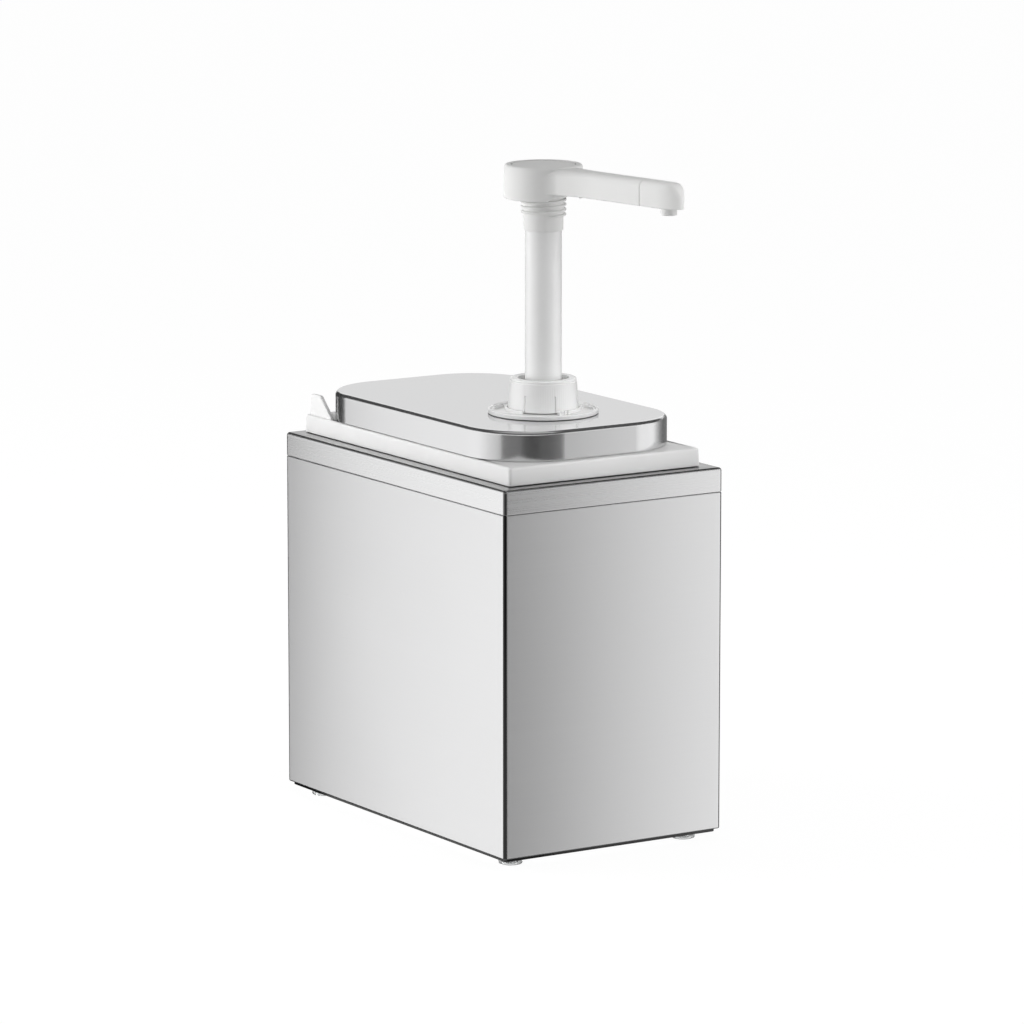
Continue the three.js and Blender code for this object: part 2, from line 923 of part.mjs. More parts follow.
function makeFootValve() {
  const underside = valveSeat - footValve.floor;
  return revolve([
    [footValve.barbBore, underside - footValve.barbLength],
    [footValve.barbRadius, underside - footValve.barbLength],
    [footValve.barbRadius, underside],
    [valveRadius, underside],
    [valveRadius, valveTop],
    [valveChamber, valveTop],
    [valveChamber, valveSeat + footValve.floor],
    [footValve.seatRadius, valveSeat],
  ], smallSides);
}

function makeFootValveRing() {
  const top = socketTop - seatGap;
  return ringSolid(valveChamber, valveRadius, top - footValve.ringHeight, top, smallSides);
}

// The height of a ball's middle when it rests on the edge of a round seat.
function restingHeight(ballRadius, seatRadius, seatEdge) {
  return seatEdge + Math.sqrt(ballRadius ** 2 - seatRadius ** 2) + seatGap;
}

function ball(name, radius, height) {
  const mesh = part(name, weld(new THREE.SphereGeometry(radius, hiddenSides / 2, hiddenSides / 3)), steel);
  mesh.position.z = height;
  return mesh;
}

function makeDipTube() {
  const inner = footValve.barbRadius + seatGap;
  const top = valveSeat - footValve.floor - seatGap;
  const bottom = tubBottom + container.wall + dipTube.floorGap;
  return ringSolid(inner, inner + dipTube.wall, bottom, top, smallSides);
}

// Stem and piston

function makeStem() {
  return ringSolid(stemBore, stem.radius, pistonTop + seatGap, stemTop);
}

function pistonSeatHeight() {
  return pistonBottom + piston.seatHeight;
}

function makePiston() {
  const outer = boreRadius - piston.clearance;
  const spigot = stemBore - seatGap;
  const middle = (pistonBottom + pistonTop) / 2;
  const [low, high] = [middle - piston.grooveHeight / 2, middle + piston.grooveHeight / 2];
  const chamber = spigot - piston.spigotWall;
  return revolve([
    [piston.portRadius, pistonBottom],
    [outer, pistonBottom],
    [outer, low],
    [outer - piston.grooveDepth, low],
    [outer - piston.grooveDepth, high],
    [outer, high],
    [outer, pistonTop],
    [spigot, pistonTop],
    [spigot, pistonTop + piston.spigotHeight],
    [chamber, pistonTop + piston.spigotHeight],
    [chamber, pistonSeatHeight() + piston.portRadius / 2],
    [piston.portRadius, pistonSeatHeight()],
  ], hiddenSides);
}

function makePistonRing() {
  const outer = boreRadius - seatGap / 2;
  const inner = boreRadius - piston.clearance - piston.grooveDepth + seatGap;
  const middle = (pistonBottom + pistonTop) / 2;
  const half = piston.grooveHeight / 2 - seatGap;
  return revolve([
    [inner, middle - half],
    [outer - half / 2, middle - half],
    [outer, middle],
    [outer - half / 2, middle + half],
    [inner, middle + half],
  ], hiddenSides);
}

function cageBottom() {
  return pistonTop + piston.spigotHeight - cage.thickness;
}

function makeCage() {
  const radius = stemBore - 2 * seatGap - piston.spigotWall;
  const plate = rod(radius, cageBottom(), cageBottom() + cage.thickness, hiddenSides);
  const holes = Array.from({ length: cage.holeCount }, (_, i) => (
    rod(cage.holeRadius, cageBottom() - overrun, cageBottom() + cage.thickness + overrun, hiddenSides / 2)
      .translate(cage.holeCircle, 0, 0)
      .rotateZ((i / cage.holeCount) * 2 * Math.PI)
  ));
  return cut(plate, ...holes);
}

// The return spring: one unbroken wire wound up a straight helix.
function springPoint(turn, bottom, rise) {
  const angle = turn * 2 * Math.PI;
  const x = coilRadius * Math.cos(angle);
  const y = coilRadius * Math.sin(angle);
  return new THREE.Vector3(x, y, bottom + rise * turn);
}

function makeSpring() {
  const bottom = barrelFloorTop + spring.wireRadius + seatGap;
  const top = pistonBottom - spring.wireRadius - seatGap;
  const rise = (top - bottom) / spring.turns;
  const steps = spring.turns * spring.stepsPerTurn;
  const turns = Array.from({ length: steps + 1 }, (_, i) => i / spring.stepsPerTurn);
  const centres = turns.map((turn) => springPoint(turn, bottom, rise));
  const places = [];
  const order = [];
  centres.forEach((centre, i) => {
    const angle = (i / spring.stepsPerTurn) * 2 * Math.PI;
    const outward = new THREE.Vector3(Math.cos(angle), Math.sin(angle), 0);
    for (let side = 0; side < spring.sides; side += 1) {
      const around = (side / spring.sides) * 2 * Math.PI;
      const point = centre.clone().addScaledVector(outward, spring.wireRadius * Math.cos(around));
      point.z += spring.wireRadius * Math.sin(around);
      places.push(...point.toArray());
    }
  });
  for (let i = 0; i < steps; i += 1) {
    for (let side = 0; side < spring.sides; side += 1) {
      const next = (side + 1) % spring.sides;
      const [a, b] = [i * spring.sides + side, i * spring.sides + next];
      order.push(a, b, b + spring.sides, a, b + spring.sides, a + spring.sides);
    }
  }
  const lastRing = steps * spring.sides;
  for (let side = 1; side < spring.sides - 1; side += 1) {
    order.push(0, side + 1, side);
    order.push(lastRing, lastRing + side, lastRing + side + 1);
  }
  const geometry = new THREE.BufferGeometry();
  geometry.setAttribute('position', new THREE.Float32BufferAttribute(places, 3));
  geometry.setIndex(order);
  console.log(`return spring: least gap between its turns ${leastGap(centres).toFixed(2)} mm`);
  return weld(geometry);
}

// The smallest distance between wire surfaces more than half a turn apart.
function leastGap(centres) {
  let least = Infinity;
  for (let i = 0; i < centres.length; i += 1) {
    for (let j = i + spring.stepsPerTurn / 2; j < centres.length; j += 1) {
      least = Math.min(least, centres[i].distanceTo(centres[j]));
    }
  }
  return least - 2 * spring.wireRadius;
}

// Head, built with its arm along -Y and turned with its group

function makeLockSleeve() {
  const inner = stem.radius + sleeve.stemClearance;
  const threadStart = headBottom - sleeve.reachBelowHead;
  const bottom = threadStart - sleeve.plainHeight;
  const ridges = [];
  for (let i = 0; i < sleeve.ridgeCount; i += 1) {
    const root = threadStart + sleeve.threadPitch * i;
    ridges.push([sleeveRadius, root]);
    ridges.push([threadRadius, root + sleeve.ridgeThickness / 2]);
    ridges.push([sleeveRadius, root + sleeve.ridgeThickness]);
  }
  return revolve([
    [inner, bottom],
    [sleeveRadius - sleeve.taper, bottom],
    ...ridges,
    [sleeveRadius, sleeveTop],
    [inner, sleeveTop],
  ]);
}

// The outline of the arm seen from above, with its sides blending into the round head.
function armOutline(shrink) {
  const half = arm.width / 2 - shrink;
  const headRadius = head.topRadius - shrink;
  const blend = arm.blendRadius + shrink;
  const blendX = half + blend;
  const blendY = -Math.sqrt((headRadius + blend) ** 2 - blendX ** 2);
  const touch = Math.atan2(-blendY, blendX);
  const outline = new THREE.Shape();
  outline.moveTo(half, -arm.reach - overrun);
  outline.lineTo(half, blendY);
  outline.absarc(blendX, blendY, blend, Math.PI, Math.PI - touch, true);
  outline.absarc(0, 0, headRadius, -touch, Math.PI + touch, false);
  outline.absarc(-blendX, blendY, blend, touch, 0, true);
  outline.lineTo(-half, -arm.reach - overrun);
  return outline;
}

function makeArmBlank() {
  const { edgeRadius, height } = arm;
  const options = {
    depth: height,
    bevelEnabled: true,
    bevelSize: edgeRadius,
    bevelThickness: edgeRadius,
    bevelSegments: edgeSteps,
    curveSegments: cornerSteps,
  };
  const raised = new THREE.ExtrudeGeometry(armOutline(edgeRadius), options);
  raised.translate(0, 0, armTop - height - edgeRadius);
  const reach = arm.reach;
  const limit = block(4 * headBottomRadius, reach + 2 * headBottomRadius, armBottom, headTop + overrun);
  return keepInside(raised, limit.translate(0, headBottomRadius - reach / 2, 0));
}

function makeHead() {
  const { topRadius, edgeRadius } = head;
  const capSeat = headTop - headCap.thickness - seatGap;
  const hollowTop = headBottom + head.hollowDepth;
  const corner = [topRadius, headTop];
  const topEdge = quarterRound([topRadius, headTop - edgeRadius], [topRadius - edgeRadius, headTop], corner);
  const drum = revolve([
    [0, headBottom],
    [headBottomRadius, headBottom],
    ...topEdge,
    [0, headTop],
  ]);
  const hollow = ringSolid(bossRadius, headBottomRadius - head.skirtWall, headBottom - overrun, hollowTop);
  const duct = block(arm.width, 2 * headBottomRadius, armBottom, headTop);
  duct.translate(0, -headBottomRadius, 0);
  const bossCut = rod(bossRadius + seatGap, headBottom - overrun, sleeveTop + seatGap, roundSides);
  const stemSocket = rod(stem.radius + seatGap, headBottom, ringSeat, roundSides);
  const chamber = rod(stemBore - head.chamberStep, stemTop, capSeat + overrun);
  const capRecess = rod(capRadius + seatGap, capSeat, headTop + overrun, roundSides);
  const channel = alongArm(arm.channelRadius, 0, arm.reach + overrun);
  const socketDepth = elbow.spigotLength + oRing.thickness + seatGap;
  const socket = alongArm(arm.socketRadius, arm.reach - socketDepth, arm.reach + overrun);
  const solid = join(cut(drum, makeNotch()), makeArmBlank());
  return cut(solid, cut(hollow, duct), bossCut, stemSocket, chamber, capRecess, channel, socket);
}

// The space under the arm where the head's skirt is cut back, wider at its foot.
function makeNotch() {
  const { notchHalfWidth, notchFootHalfWidth } = head;
  const outline = new THREE.Shape();
  outline.moveTo(-notchFootHalfWidth, headBottom - overrun);
  outline.lineTo(notchFootHalfWidth, headBottom - overrun);
  outline.lineTo(notchFootHalfWidth, headBottom);
  outline.lineTo(notchHalfWidth, armBottom);
  outline.lineTo(-notchHalfWidth, armBottom);
  outline.lineTo(-notchFootHalfWidth, headBottom);
  const wedge = new THREE.ExtrudeGeometry(outline, { depth: 2 * headBottomRadius, bevelEnabled: false });
  return wedge.rotateX(Math.PI / 2).translate(0, -bossRadius / 2, 0);
}

// A round bar or drill along the arm, between two distances from the pump's axis.
function alongArm(radius, start, end) {
  return rod(radius, start, end).rotateX(Math.PI / 2).translate(0, 0, channelHeight);
}

function makeHeadCap() {
  const bottom = headTop - headCap.thickness;
  const rounding = headCap.thickness / 3;
  return revolve([
    [0, bottom],
    [capRadius, bottom],
    [capRadius, headTop - rounding],
    [capRadius - rounding, headTop],
    [0, headTop],
  ]);
}

function makeStemRing() {
  const bottom = stemTop + seatGap;
  return ringSolid(stemBore, stem.radius, bottom, bottom + oRing.thickness, smallSides);
}

function elbowEnd() {
  return arm.reach + seatGap + elbow.length;
}

// The elbow's side outline, drawn as distance from the pump's axis and height, with its edges rounded.
function makeElbowBlank() {
  const { edgeRadius, width } = arm;
  const start = arm.reach - edgeRadius;
  const end = elbowEnd() - edgeRadius;
  const [low, high] = [armBottom - edgeRadius, armTop - edgeRadius];
  const nose = Math.max(elbow.noseRadius - edgeRadius, edgeRadius / 4);
  const outline = new THREE.Shape();
  outline.moveTo(start, low);
  outline.lineTo(end, low);
  outline.lineTo(end, high - nose);
  outline.absarc(end - nose, high - nose, nose, 0, Math.PI / 2, false);
  outline.lineTo(start, high);
  const options = {
    depth: width - 2 * edgeRadius,
    bevelEnabled: true,
    bevelSize: edgeRadius,
    bevelThickness: edgeRadius,
    bevelSegments: edgeSteps,
    curveSegments: cornerSteps,
  };
  const raised = new THREE.ExtrudeGeometry(outline, options).translate(0, 0, edgeRadius - width / 2);
  raised.rotateX(Math.PI / 2).rotateZ(-Math.PI / 2);
  const limitStart = arm.reach + seatGap;
  const limit = block(2 * width, elbow.length + overrun, armBottom, armTop + overrun);
  return keepInside(raised, limit.translate(0, -limitStart - (elbow.length + overrun) / 2, 0));
}

function outletDistance() {
  return elbowEnd() - outlet.setBack;
}

function makeElbow() {
  const start = arm.reach + seatGap;
  const spigot = alongArm(spigotRadius, start - elbow.spigotLength, start + arm.edgeRadius);
  const channel = alongArm(elbow.spigotBore, start - elbow.spigotLength - overrun, outletDistance());
  const drop = rod(outlet.boreRadius, armBottom, channelHeight).translate(0, -outletDistance(), 0);
  const socketEnd = armBottom + outlet.depthInside + seatGap;
  const socket = rod(outlet.radius + seatGap, armBottom - overrun, socketEnd);
  socket.translate(0, -outletDistance(), 0);
  return cut(join(makeElbowBlank(), spigot), channel, drop, socket);
}

function makeOutlet() {
  const [bottom, top] = [armBottom - outlet.reachBelow, armBottom + outlet.depthInside];
  const tube = ringSolid(outlet.boreRadius, outlet.radius, bottom, top, smallSides);
  return tube.translate(0, -outletDistance(), 0);
}

function makeNozzleRing() {
  const end = arm.reach - elbow.spigotLength;
  const ring = ringSolid(elbow.spigotBore, spigotRadius, end - oRing.thickness, end, smallSides);
  return ring.rotateX(Math.PI / 2).translate(0, 0, channelHeight);
}

function makePump() {
  const group = new THREE.Group();
  group.add(part('pump_flange', makeFlange(), white));
  group.add(part('lid_gasket', makeLidGasket(), seal));
  group.add(part('flange_lock_ring', makeLockRing(), white));
  group.add(part('collar_nut', makeNut(), white));
  group.add(part('cylinder_gasket', makeBarrelGasket(), seal));
  group.add(part('pump_cylinder', makeBarrel(), white));
  group.add(part('stem_guide', makeGuide(), white));
  group.add(part('stem_wiper', makeWiper(), seal));
  group.add(part('foot_valve', makeFootValve(), white));
  group.add(part('foot_valve_ring', makeFootValveRing(), seal));
  const inletHeight = restingHeight(inletBall.radius, footValve.seatRadius, valveSeat);
  group.add(ball('inlet_ball', inletBall.radius, inletHeight));
  group.add(part('dip_tube', makeDipTube(), white));
  group.add(part('stem_tube', makeStem(), white));
  group.add(part('piston', makePiston(), white));
  group.add(part('piston_ring', makePistonRing(), seal));
  const outletHeight = restingHeight(outletBall.radius, piston.portRadius, pistonSeatHeight());
  group.add(ball('outlet_ball', outletBall.radius, outletHeight));
  group.add(part('ball_cage', makeCage(), white));
  group.add(part('return_spring', makeSpring(), steel));
  group.add(makeTurnedHead());
  group.position.y = -pump.forward;
  return group;
}

function makeTurnedHead() {
  const group = new THREE.Group();
  group.add(part('lock_sleeve', makeLockSleeve(), white));
  group.add(part('pump_head', makeHead(), white));
  group.add(part('head_cap', makeHeadCap(), white));
  group.add(part('stem_o_ring', makeStemRing(), seal));
  group.add(part('nozzle_elbow', makeElbow(), white));
  group.add(part('outlet_tube', makeOutlet(), white));
  group.add(part('nozzle_o_ring', makeNozzleRing(), seal));
  group.rotation.z = pump.headTurn * degree;
  return group;
}

// The whole dispenser, moved so that the middle of its box's underside lies on the origin.
function makeDispenser() {
  const whole = new THREE.Group();
  whole.add(makeHousing(), makeContainer(), makeLid(), makePump());
  whole.updateMatrixWorld(true);
  const box = new THREE.Box3().setFromObject(whole, true);
  const middle = box.getCenter(new THREE.Vector3());
  whole.position.set(-middle.x, -middle.y, -box.min.z);
  whole.updateMatrixWorld(true);
  return whole;
}

const group = makeDispenser();

export default group;
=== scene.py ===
"""Sauce pump dispenser: the looks of its steel housing, plastic container, lid and hand pump."""

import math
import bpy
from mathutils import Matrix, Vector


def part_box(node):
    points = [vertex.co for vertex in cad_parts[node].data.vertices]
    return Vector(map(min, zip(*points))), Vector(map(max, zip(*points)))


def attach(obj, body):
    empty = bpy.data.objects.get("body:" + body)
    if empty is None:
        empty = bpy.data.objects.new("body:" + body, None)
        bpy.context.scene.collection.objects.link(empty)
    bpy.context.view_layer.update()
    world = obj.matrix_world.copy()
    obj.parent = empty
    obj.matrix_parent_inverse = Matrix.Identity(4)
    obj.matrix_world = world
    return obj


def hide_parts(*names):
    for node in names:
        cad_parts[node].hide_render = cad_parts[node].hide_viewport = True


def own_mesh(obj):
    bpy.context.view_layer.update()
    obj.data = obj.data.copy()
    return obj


bl_info = {
    "name": "Sauce Pump Dispenser",
    "version": (1, 0, 0),
    "blender": (4, 5, 0),
    "location": "3D View > Sidebar > Dispenser",
    "description": "Dresses a sauce pump dispenser with finished surfaces, materials and a studio stage",
    "category": "Add Mesh",
}

from types import SimpleNamespace

import bmesh
import bpy
import numpy as np
from bpy.props import FloatProperty, FloatVectorProperty, IntProperty, PointerProperty
from mathutils import Matrix, Vector

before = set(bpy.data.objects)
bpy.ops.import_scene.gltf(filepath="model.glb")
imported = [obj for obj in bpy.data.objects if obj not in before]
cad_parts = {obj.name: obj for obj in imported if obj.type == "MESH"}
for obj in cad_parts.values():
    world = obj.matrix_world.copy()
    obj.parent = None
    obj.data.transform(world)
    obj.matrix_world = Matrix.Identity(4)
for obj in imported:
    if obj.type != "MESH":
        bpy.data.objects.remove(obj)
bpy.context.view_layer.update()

MILLIMETRE = 0.001
WELD_DISTANCE = 2e-6  # in metres: points of one piece that are nearer become one

# Places in the plan and lengths, in millimetres
CONTAINER_MIDDLE = (0.0, 22.429)
PUMP_AXIS = (0.0, -29.4707)
HOUSING_MIDDLE = (0.0, 21.0293)
GAP = 0.3  # between neighbouring pieces
LID_HOLE = 18.8  # radius of the hole that the pump's neck passes through
OUTLET_BORE = 3.4
SPIGOT_RADIUS = 5.2
ARM_HEIGHT = 16.4
END_ROUNDING = 0.45  # of the arm's and the elbow's edges at their joint
TOP_DROP = 0.8  # how far the photo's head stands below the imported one
HEAD_TURN = math.radians(8)  # of the arm at rest, from the front towards +x

# The photograph's camera, solved from the housing's edges: its place in metres, its lens in millimetres, and
# which way it looks. It isn't rolled, so its right-hand direction is level.
CAMERA_PLACE = (-1.966597, -3.0848017, 0.859153)
CAMERA_LENS = 205.45
CAMERA_FORWARD = Vector((0.52821835, 0.83048435, -0.17686469))
CAMERA_RIGHT = Vector((0.8437865, -0.536679, 0.0))


# Measuring and mesh making


def box_of(node):
    """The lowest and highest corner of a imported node, in millimetres."""
    low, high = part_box(node)
    low, high = np.array(low) / MILLIMETRE, np.array(high) / MILLIMETRE
    return SimpleNamespace(x0=low[0], y0=low[1], z0=low[2], x1=high[0], y1=high[1], z1=high[2])


def in_millimetres(settings):
    """The lengths of a property group, from metres to millimetres."""
    names = [name for name, kind in type(settings).__annotations__.items() if kind.keywords.get("unit") == "LENGTH"]
    return SimpleNamespace(**{name: getattr(settings, name) / MILLIMETRE for name in names})


def filleted(corners, closed=True, steps=6):
    """A flat line of straight runs whose corners are rounded. Each corner is x, y, radius: the arc touches both
    runs at radius / tan(half the corner's angle) from the corner, and one point more lies just past each end."""
    rounded = []
    count = len(corners)
    for i, corner in enumerate(corners):
        here, radius = np.array(corner[:2], float), (corner[2] if len(corner) > 2 else 0.0)
        if not closed and i in (0, count - 1):
            rounded.append(here)
            continue
        before = np.array(corners[i - 1][:2], float) - here
        after = np.array(corners[(i + 1) % count][:2], float) - here
        run_before, run_after = np.linalg.norm(before), np.linalg.norm(after)
        before, after = before / run_before, after / run_after
        half = math.acos(float(np.clip(before @ after, -1, 1))) / 2
        if radius <= 0 or half > math.radians(88):
            rounded.append(here)
            continue
        reach = min(radius / math.tan(half), 0.47 * run_before, 0.47 * run_after)
        radius = reach * math.tan(half)
        middle = here + (before + after) / np.linalg.norm(before + after) * radius / math.sin(half)
        start, end = here + before * reach - middle, here + after * reach - middle
        sweep = math.pi - 2 * half
        share = np.linspace(0, 1, steps + 1)[:, None]
        arc = middle + (np.sin((1 - share) * sweep) * start + np.sin(share * sweep) * end) / math.sin(sweep)
        guard = 0.12 * reach
        rounded += [here + before * (reach + guard), *arc, here + after * (reach + guard)]
    return np.array(rounded)


def grid_shell(points, wrap_rows=False, wrap_columns=True):
    """Corners and four-sided faces of a grid of points. A wrapped direction joins its last line to its first."""
    rows, columns = points.shape[:2]
    row = np.arange(rows if wrap_rows else rows - 1)[:, None]
    column = np.arange(columns if wrap_columns else columns - 1)[None, :]
    next_row, next_column = (row + 1) % rows, (column + 1) % columns
    corners = [row * columns + column, row * columns + next_column]
    corners += [next_row * columns + next_column, next_row * columns + column]
    faces = np.stack([np.broadcast_to(c, (len(row), column.shape[1])) for c in corners], -1).reshape(-1, 4)
    return points.reshape(-1, 3), faces


def linked_mesh(name, places, faces, material):
    """A mesh object of one material in the scene, in metres."""
    mesh = bpy.data.meshes.new(name)
    mesh.from_pydata(places, [], faces)
    mesh.materials.append(material)
    piece = bpy.data.objects.new(name, mesh)
    bpy.context.scene.collection.objects.link(piece)
    return piece


def make_piece(name, shells, material, body, node, crease=38):
    """Puts shells, given in millimetres, into one mesh object whose faces point out. It rides on a body, stands
    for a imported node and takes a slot's finish."""
    places, faces, start = [], [], 0
    for points, quads in shells:
        places.append(points)
        faces.append(quads + start)
        start += len(points)
    piece = linked_mesh(name, np.concatenate(places) * MILLIMETRE, np.concatenate(faces), material)
    mesh = piece.data
    shape = bmesh.new()
    shape.from_mesh(mesh)
    bmesh.ops.remove_doubles(shape, verts=shape.verts, dist=WELD_DISTANCE)
    bmesh.ops.dissolve_degenerate(shape, edges=shape.edges, dist=1e-7)
    bmesh.ops.recalc_face_normals(shape, faces=shape.faces)
    shape.to_mesh(mesh)
    shape.free()
    mesh.shade_smooth()
    mesh.set_sharp_from_angle(angle=math.radians(crease))
    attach(piece, body)
    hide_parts(node)
    return piece


def turn_between(first, second):
    """The smaller angle between two directions."""
    return np.abs((first - second + math.pi) % (2 * math.pi) - math.pi)


def all_round(sides):
    """Angles of as many points on a full turn."""
    return np.linspace(0, 2 * math.pi, sides, endpoint=False)


def about(radius, angle, height, centre=PUMP_AXIS):
    """Points about an upright axis: x = r cos(angle), y = r sin(angle)."""
    x, y = centre[0] + radius * np.cos(angle), centre[1] + radius * np.sin(angle)
    return np.stack([x, y, height + 0 * x], -1)


def turned(profile, sides=96, centre=PUMP_AXIS, closed=True):
    """A profile of radius and height carried round an upright axis."""
    return grid_shell(about(profile[:, :1], all_round(sides), profile[:, 1:], centre), wrap_rows=closed)


def turned_piece(corners, sides=96, steps=5, centre=PUMP_AXIS, closed=True):
    """A turned shell whose profile corners are rounded."""
    return turned(filleted(corners, closed, steps), sides, centre, closed)


def turned_ring(inner, outer, low, high, rounding, sides=96, steps=5, centre=PUMP_AXIS):
    """A turned ring of four corners, which run from the inner one below to the outer one and up. They share
    one rounding or have one each."""
    corners = [(inner, low), (outer, low), (outer, high), (inner, high)]
    return turned_piece([(*corner, radius) for corner, radius in zip(corners, np.broadcast_to(rounding, 4))],
                        sides, steps, centre)


def corner_places(piece):
    """The points of a piece's mesh, in millimetres."""
    places = np.empty(3 * len(piece.data.vertices))
    piece.data.vertices.foreach_get("co", places)
    return places.reshape(-1, 3) / MILLIMETRE


def set_share(mesh, name, share):
    """Gives each point of a mesh its share of an attribute."""
    mesh.attributes.new(name, "FLOAT", "POINT").data.foreach_set("value", share.astype(np.float32))


def flattened(ring, place):
    """As many points as a ring has, all in one place."""
    return np.broadcast_to(np.array(place, float), ring.shape)


def at_middle(ring):
    """A ring drawn together at the mean of its points, which closes the end of a shell."""
    return flattened(ring, ring.mean(axis=-2))[None]


def level_shares(corner_steps, side_cuts):
    """For each point of a rounded rectangle: the signs of its corner's middle, and the cosine and sine of its
    angle. Points on the straight sides lie between those of the corners at their ends."""
    quarter = np.linspace(0, math.pi / 2, corner_steps + 1)
    table = []
    for turn, (sign_x, sign_y) in enumerate([(1, 1), (-1, 1), (-1, -1), (1, -1)]):
        angle = quarter + turn * math.pi / 2
        table.append(np.stack([sign_x + 0 * angle, sign_y + 0 * angle, np.cos(angle), np.sin(angle)], -1))
    cuts = np.array(side_cuts)[:, None]
    lines = []
    for turn in range(4):
        start, end = table[turn][-1], table[(turn + 1) % 4][0]
        lines += [table[turn], start + (end - start) * cuts]
    return np.concatenate(lines)


def level_rings(profile, width, depth, radius, middle, least=0.5, corner_steps=8, side_cuts=(0.01, 0.5, 0.99)):
    """A profile of inset and height carried round a rounded rectangle. An inset makes the rectangle and the
    radius of its corners smaller by as much, but the radius stays at least at the value least."""
    shares = level_shares(corner_steps, side_cuts)
    inset, height = profile[:, 0][:, None], profile[:, 1][:, None]
    corner = np.maximum(radius - inset, least)
    x = middle[0] + shares[:, 0] * (width / 2 - inset - corner) + corner * shares[:, 2]
    y = middle[1] + shares[:, 1] * (depth / 2 - inset - corner) + corner * shares[:, 3]
    return np.stack([x, y, height + 0 * x], -1)


def spread_to(ring, goal, shares):
    """Rings between a ring of points and a goal of as many points: ring + share * (goal - ring)."""
    return ring + (goal - ring) * np.asarray(shares)[:, None, None]


# Materials


def new_material(name):
    """A node material: itself, its tree and its main shader."""
    material = bpy.data.materials.new(name)
    material.use_nodes = True
    return material, material.node_tree, material.node_tree.nodes["Principled BSDF"]


def set_inputs(tree, node, values):
    """Gives a node's sockets their values, and links those whose value is another socket."""
    for socket, value in values.items():
        if isinstance(value, bpy.types.NodeSocket):
            tree.links.new(value, node.inputs[socket])
        else:
            node.inputs[socket].default_value = value
    return node


def new_node(tree, kind, values=None, **settings):
    """A shader node of a kind, with its settings and what its sockets take."""
    node = tree.nodes.new("ShaderNode" + kind)
    for name, value in settings.items():
        setattr(node, name, value)
    return set_inputs(tree, node, values or {})


def object_place(tree):
    """Where a point lies in the piece, for the patterns to read."""
    return new_node(tree, "TexCoord").outputs["Object"]


def noise_at(tree, place, scale, detail=2.0, roughness=0.5):
    """Noise on Object coordinates, stretched by a scale for each axis, in cycles a metre."""
    mapped = new_node(tree, "Mapping", {"Scale": scale, "Vector": place}).outputs["Vector"]
    noise = new_node(tree, "TexNoise", {"Scale": 1.0, "Detail": detail, "Roughness": roughness, "Vector": mapped})
    return noise.outputs["Fac"]


def ranged(tree, value, low, high, start=0.3, end=0.7):
    """The value from start to end, spread over low to high."""
    limits = {"From Min": start, "From Max": end, "To Min": low, "To Max": high, "Value": value}
    return new_node(tree, "MapRange", limits).outputs["Result"]


def tinted(tree, value, dark, light):
    """A colour between dark and light, by the value."""
    ramp = new_node(tree, "ValToRGB", {"Fac": value})
    for element, colour in zip(ramp.color_ramp.elements, (dark, light)):
        element.color = (*colour, 1)
    return ramp.outputs["Color"]


def bumped(tree, height, distance, strength):
    """A surface direction tilted by a height, in metres."""
    return new_node(tree, "Bump", {"Distance": distance, "Strength": strength, "Height": height}).outputs["Normal"]


def blended(tree, first, second, share):
    """first * (1 - share) + second * share."""
    return new_node(tree, "Mix", {"Factor": share, "A": first, "B": second}).outputs["Result"]


def scaled(colour, factor):
    """A colour whose channels are multiplied by a factor, to 1 at most."""
    return tuple(min(channel * factor, 1) for channel in colour)


def brushed_steel(name, colour, roughness, scale, streak, anisotropy, relief=0.15, painted_shade=0.5):
    """Stainless steel with long brush lines: two stretched noises change its colour, roughness and height. Where the
    piece's own attribute bend is 1, it is smoother, as over a bending tool, and its colour is multiplied by the last
    argument, which is painted shade on the places that the attribute marks."""
    material, tree, shader = new_material(name)
    place = object_place(tree)
    fine = noise_at(tree, place, scale, 3.0, 0.65)
    broad = noise_at(tree, place, (scale[0] / 3, scale[1] / 3, scale[2] / 9))
    lines = blended(tree, fine, broad, 0.2)
    mottled = blended(tree, lines, noise_at(tree, place, (9, 9, 9)), 0.25)
    bend = new_node(tree, "Attribute", attribute_name="bend").outputs["Fac"]
    streaks = tinted(tree, ranged(tree, mottled, 0, 1), scaled(colour, 1 - streak), scaled(colour, 1 + streak))
    # painted shade: where bend is 1 the streaked colour gives way to one darkened by the last argument
    # sockets 6 and 7 of a colour mix are its two colours, and output 2 is the result
    streaks_and_painted_shade = new_node(tree, "Mix", {"Factor": bend, 6: streaks, 7: (*scaled(colour, painted_shade), 1)},
                    data_type="RGBA").outputs[2]
    matt = ranged(tree, mottled, roughness * 0.85, roughness * 1.15)
    tangent = new_node(tree, "Tangent", direction_type="RADIAL", axis="Z").outputs["Tangent"]
    set_inputs(tree, shader, {
        "Base Color": streaks_and_painted_shade, "Roughness": blended(tree, matt, 0.1, bend), "Metallic": 1.0,
        "Anisotropic": anisotropy, "Anisotropic Rotation": 0.25, "Tangent": tangent,
        "Normal": bumped(tree, lines, 0.00002, relief),
    })
    return material


def moulded_plastic(name, colour, roughness, scatter):
    """Satin moulded plastic: faint clouding, a slight skin of fine grain, and some light scattered inside."""
    material, tree, shader = new_material(name)
    place = object_place(tree)
    cloud = noise_at(tree, place, (35, 35, 35), 3.0)
    skin = noise_at(tree, place, (2600, 2600, 2600))
    mixed = blended(tree, cloud, skin, 0.5)
    set_inputs(tree, shader, {
        "Base Color": tinted(tree, ranged(tree, cloud, 0, 1), scaled(colour, 0.975), colour),
        "Roughness": ranged(tree, mixed, roughness * 0.88, roughness * 1.12), "IOR": 1.49,
        "Subsurface Weight": scatter, "Subsurface Radius": (1.0, 1.0, 1.0), "Subsurface Scale": 0.002,
        "Normal": bumped(tree, skin, 0.00001, 0.25),
    })
    return material


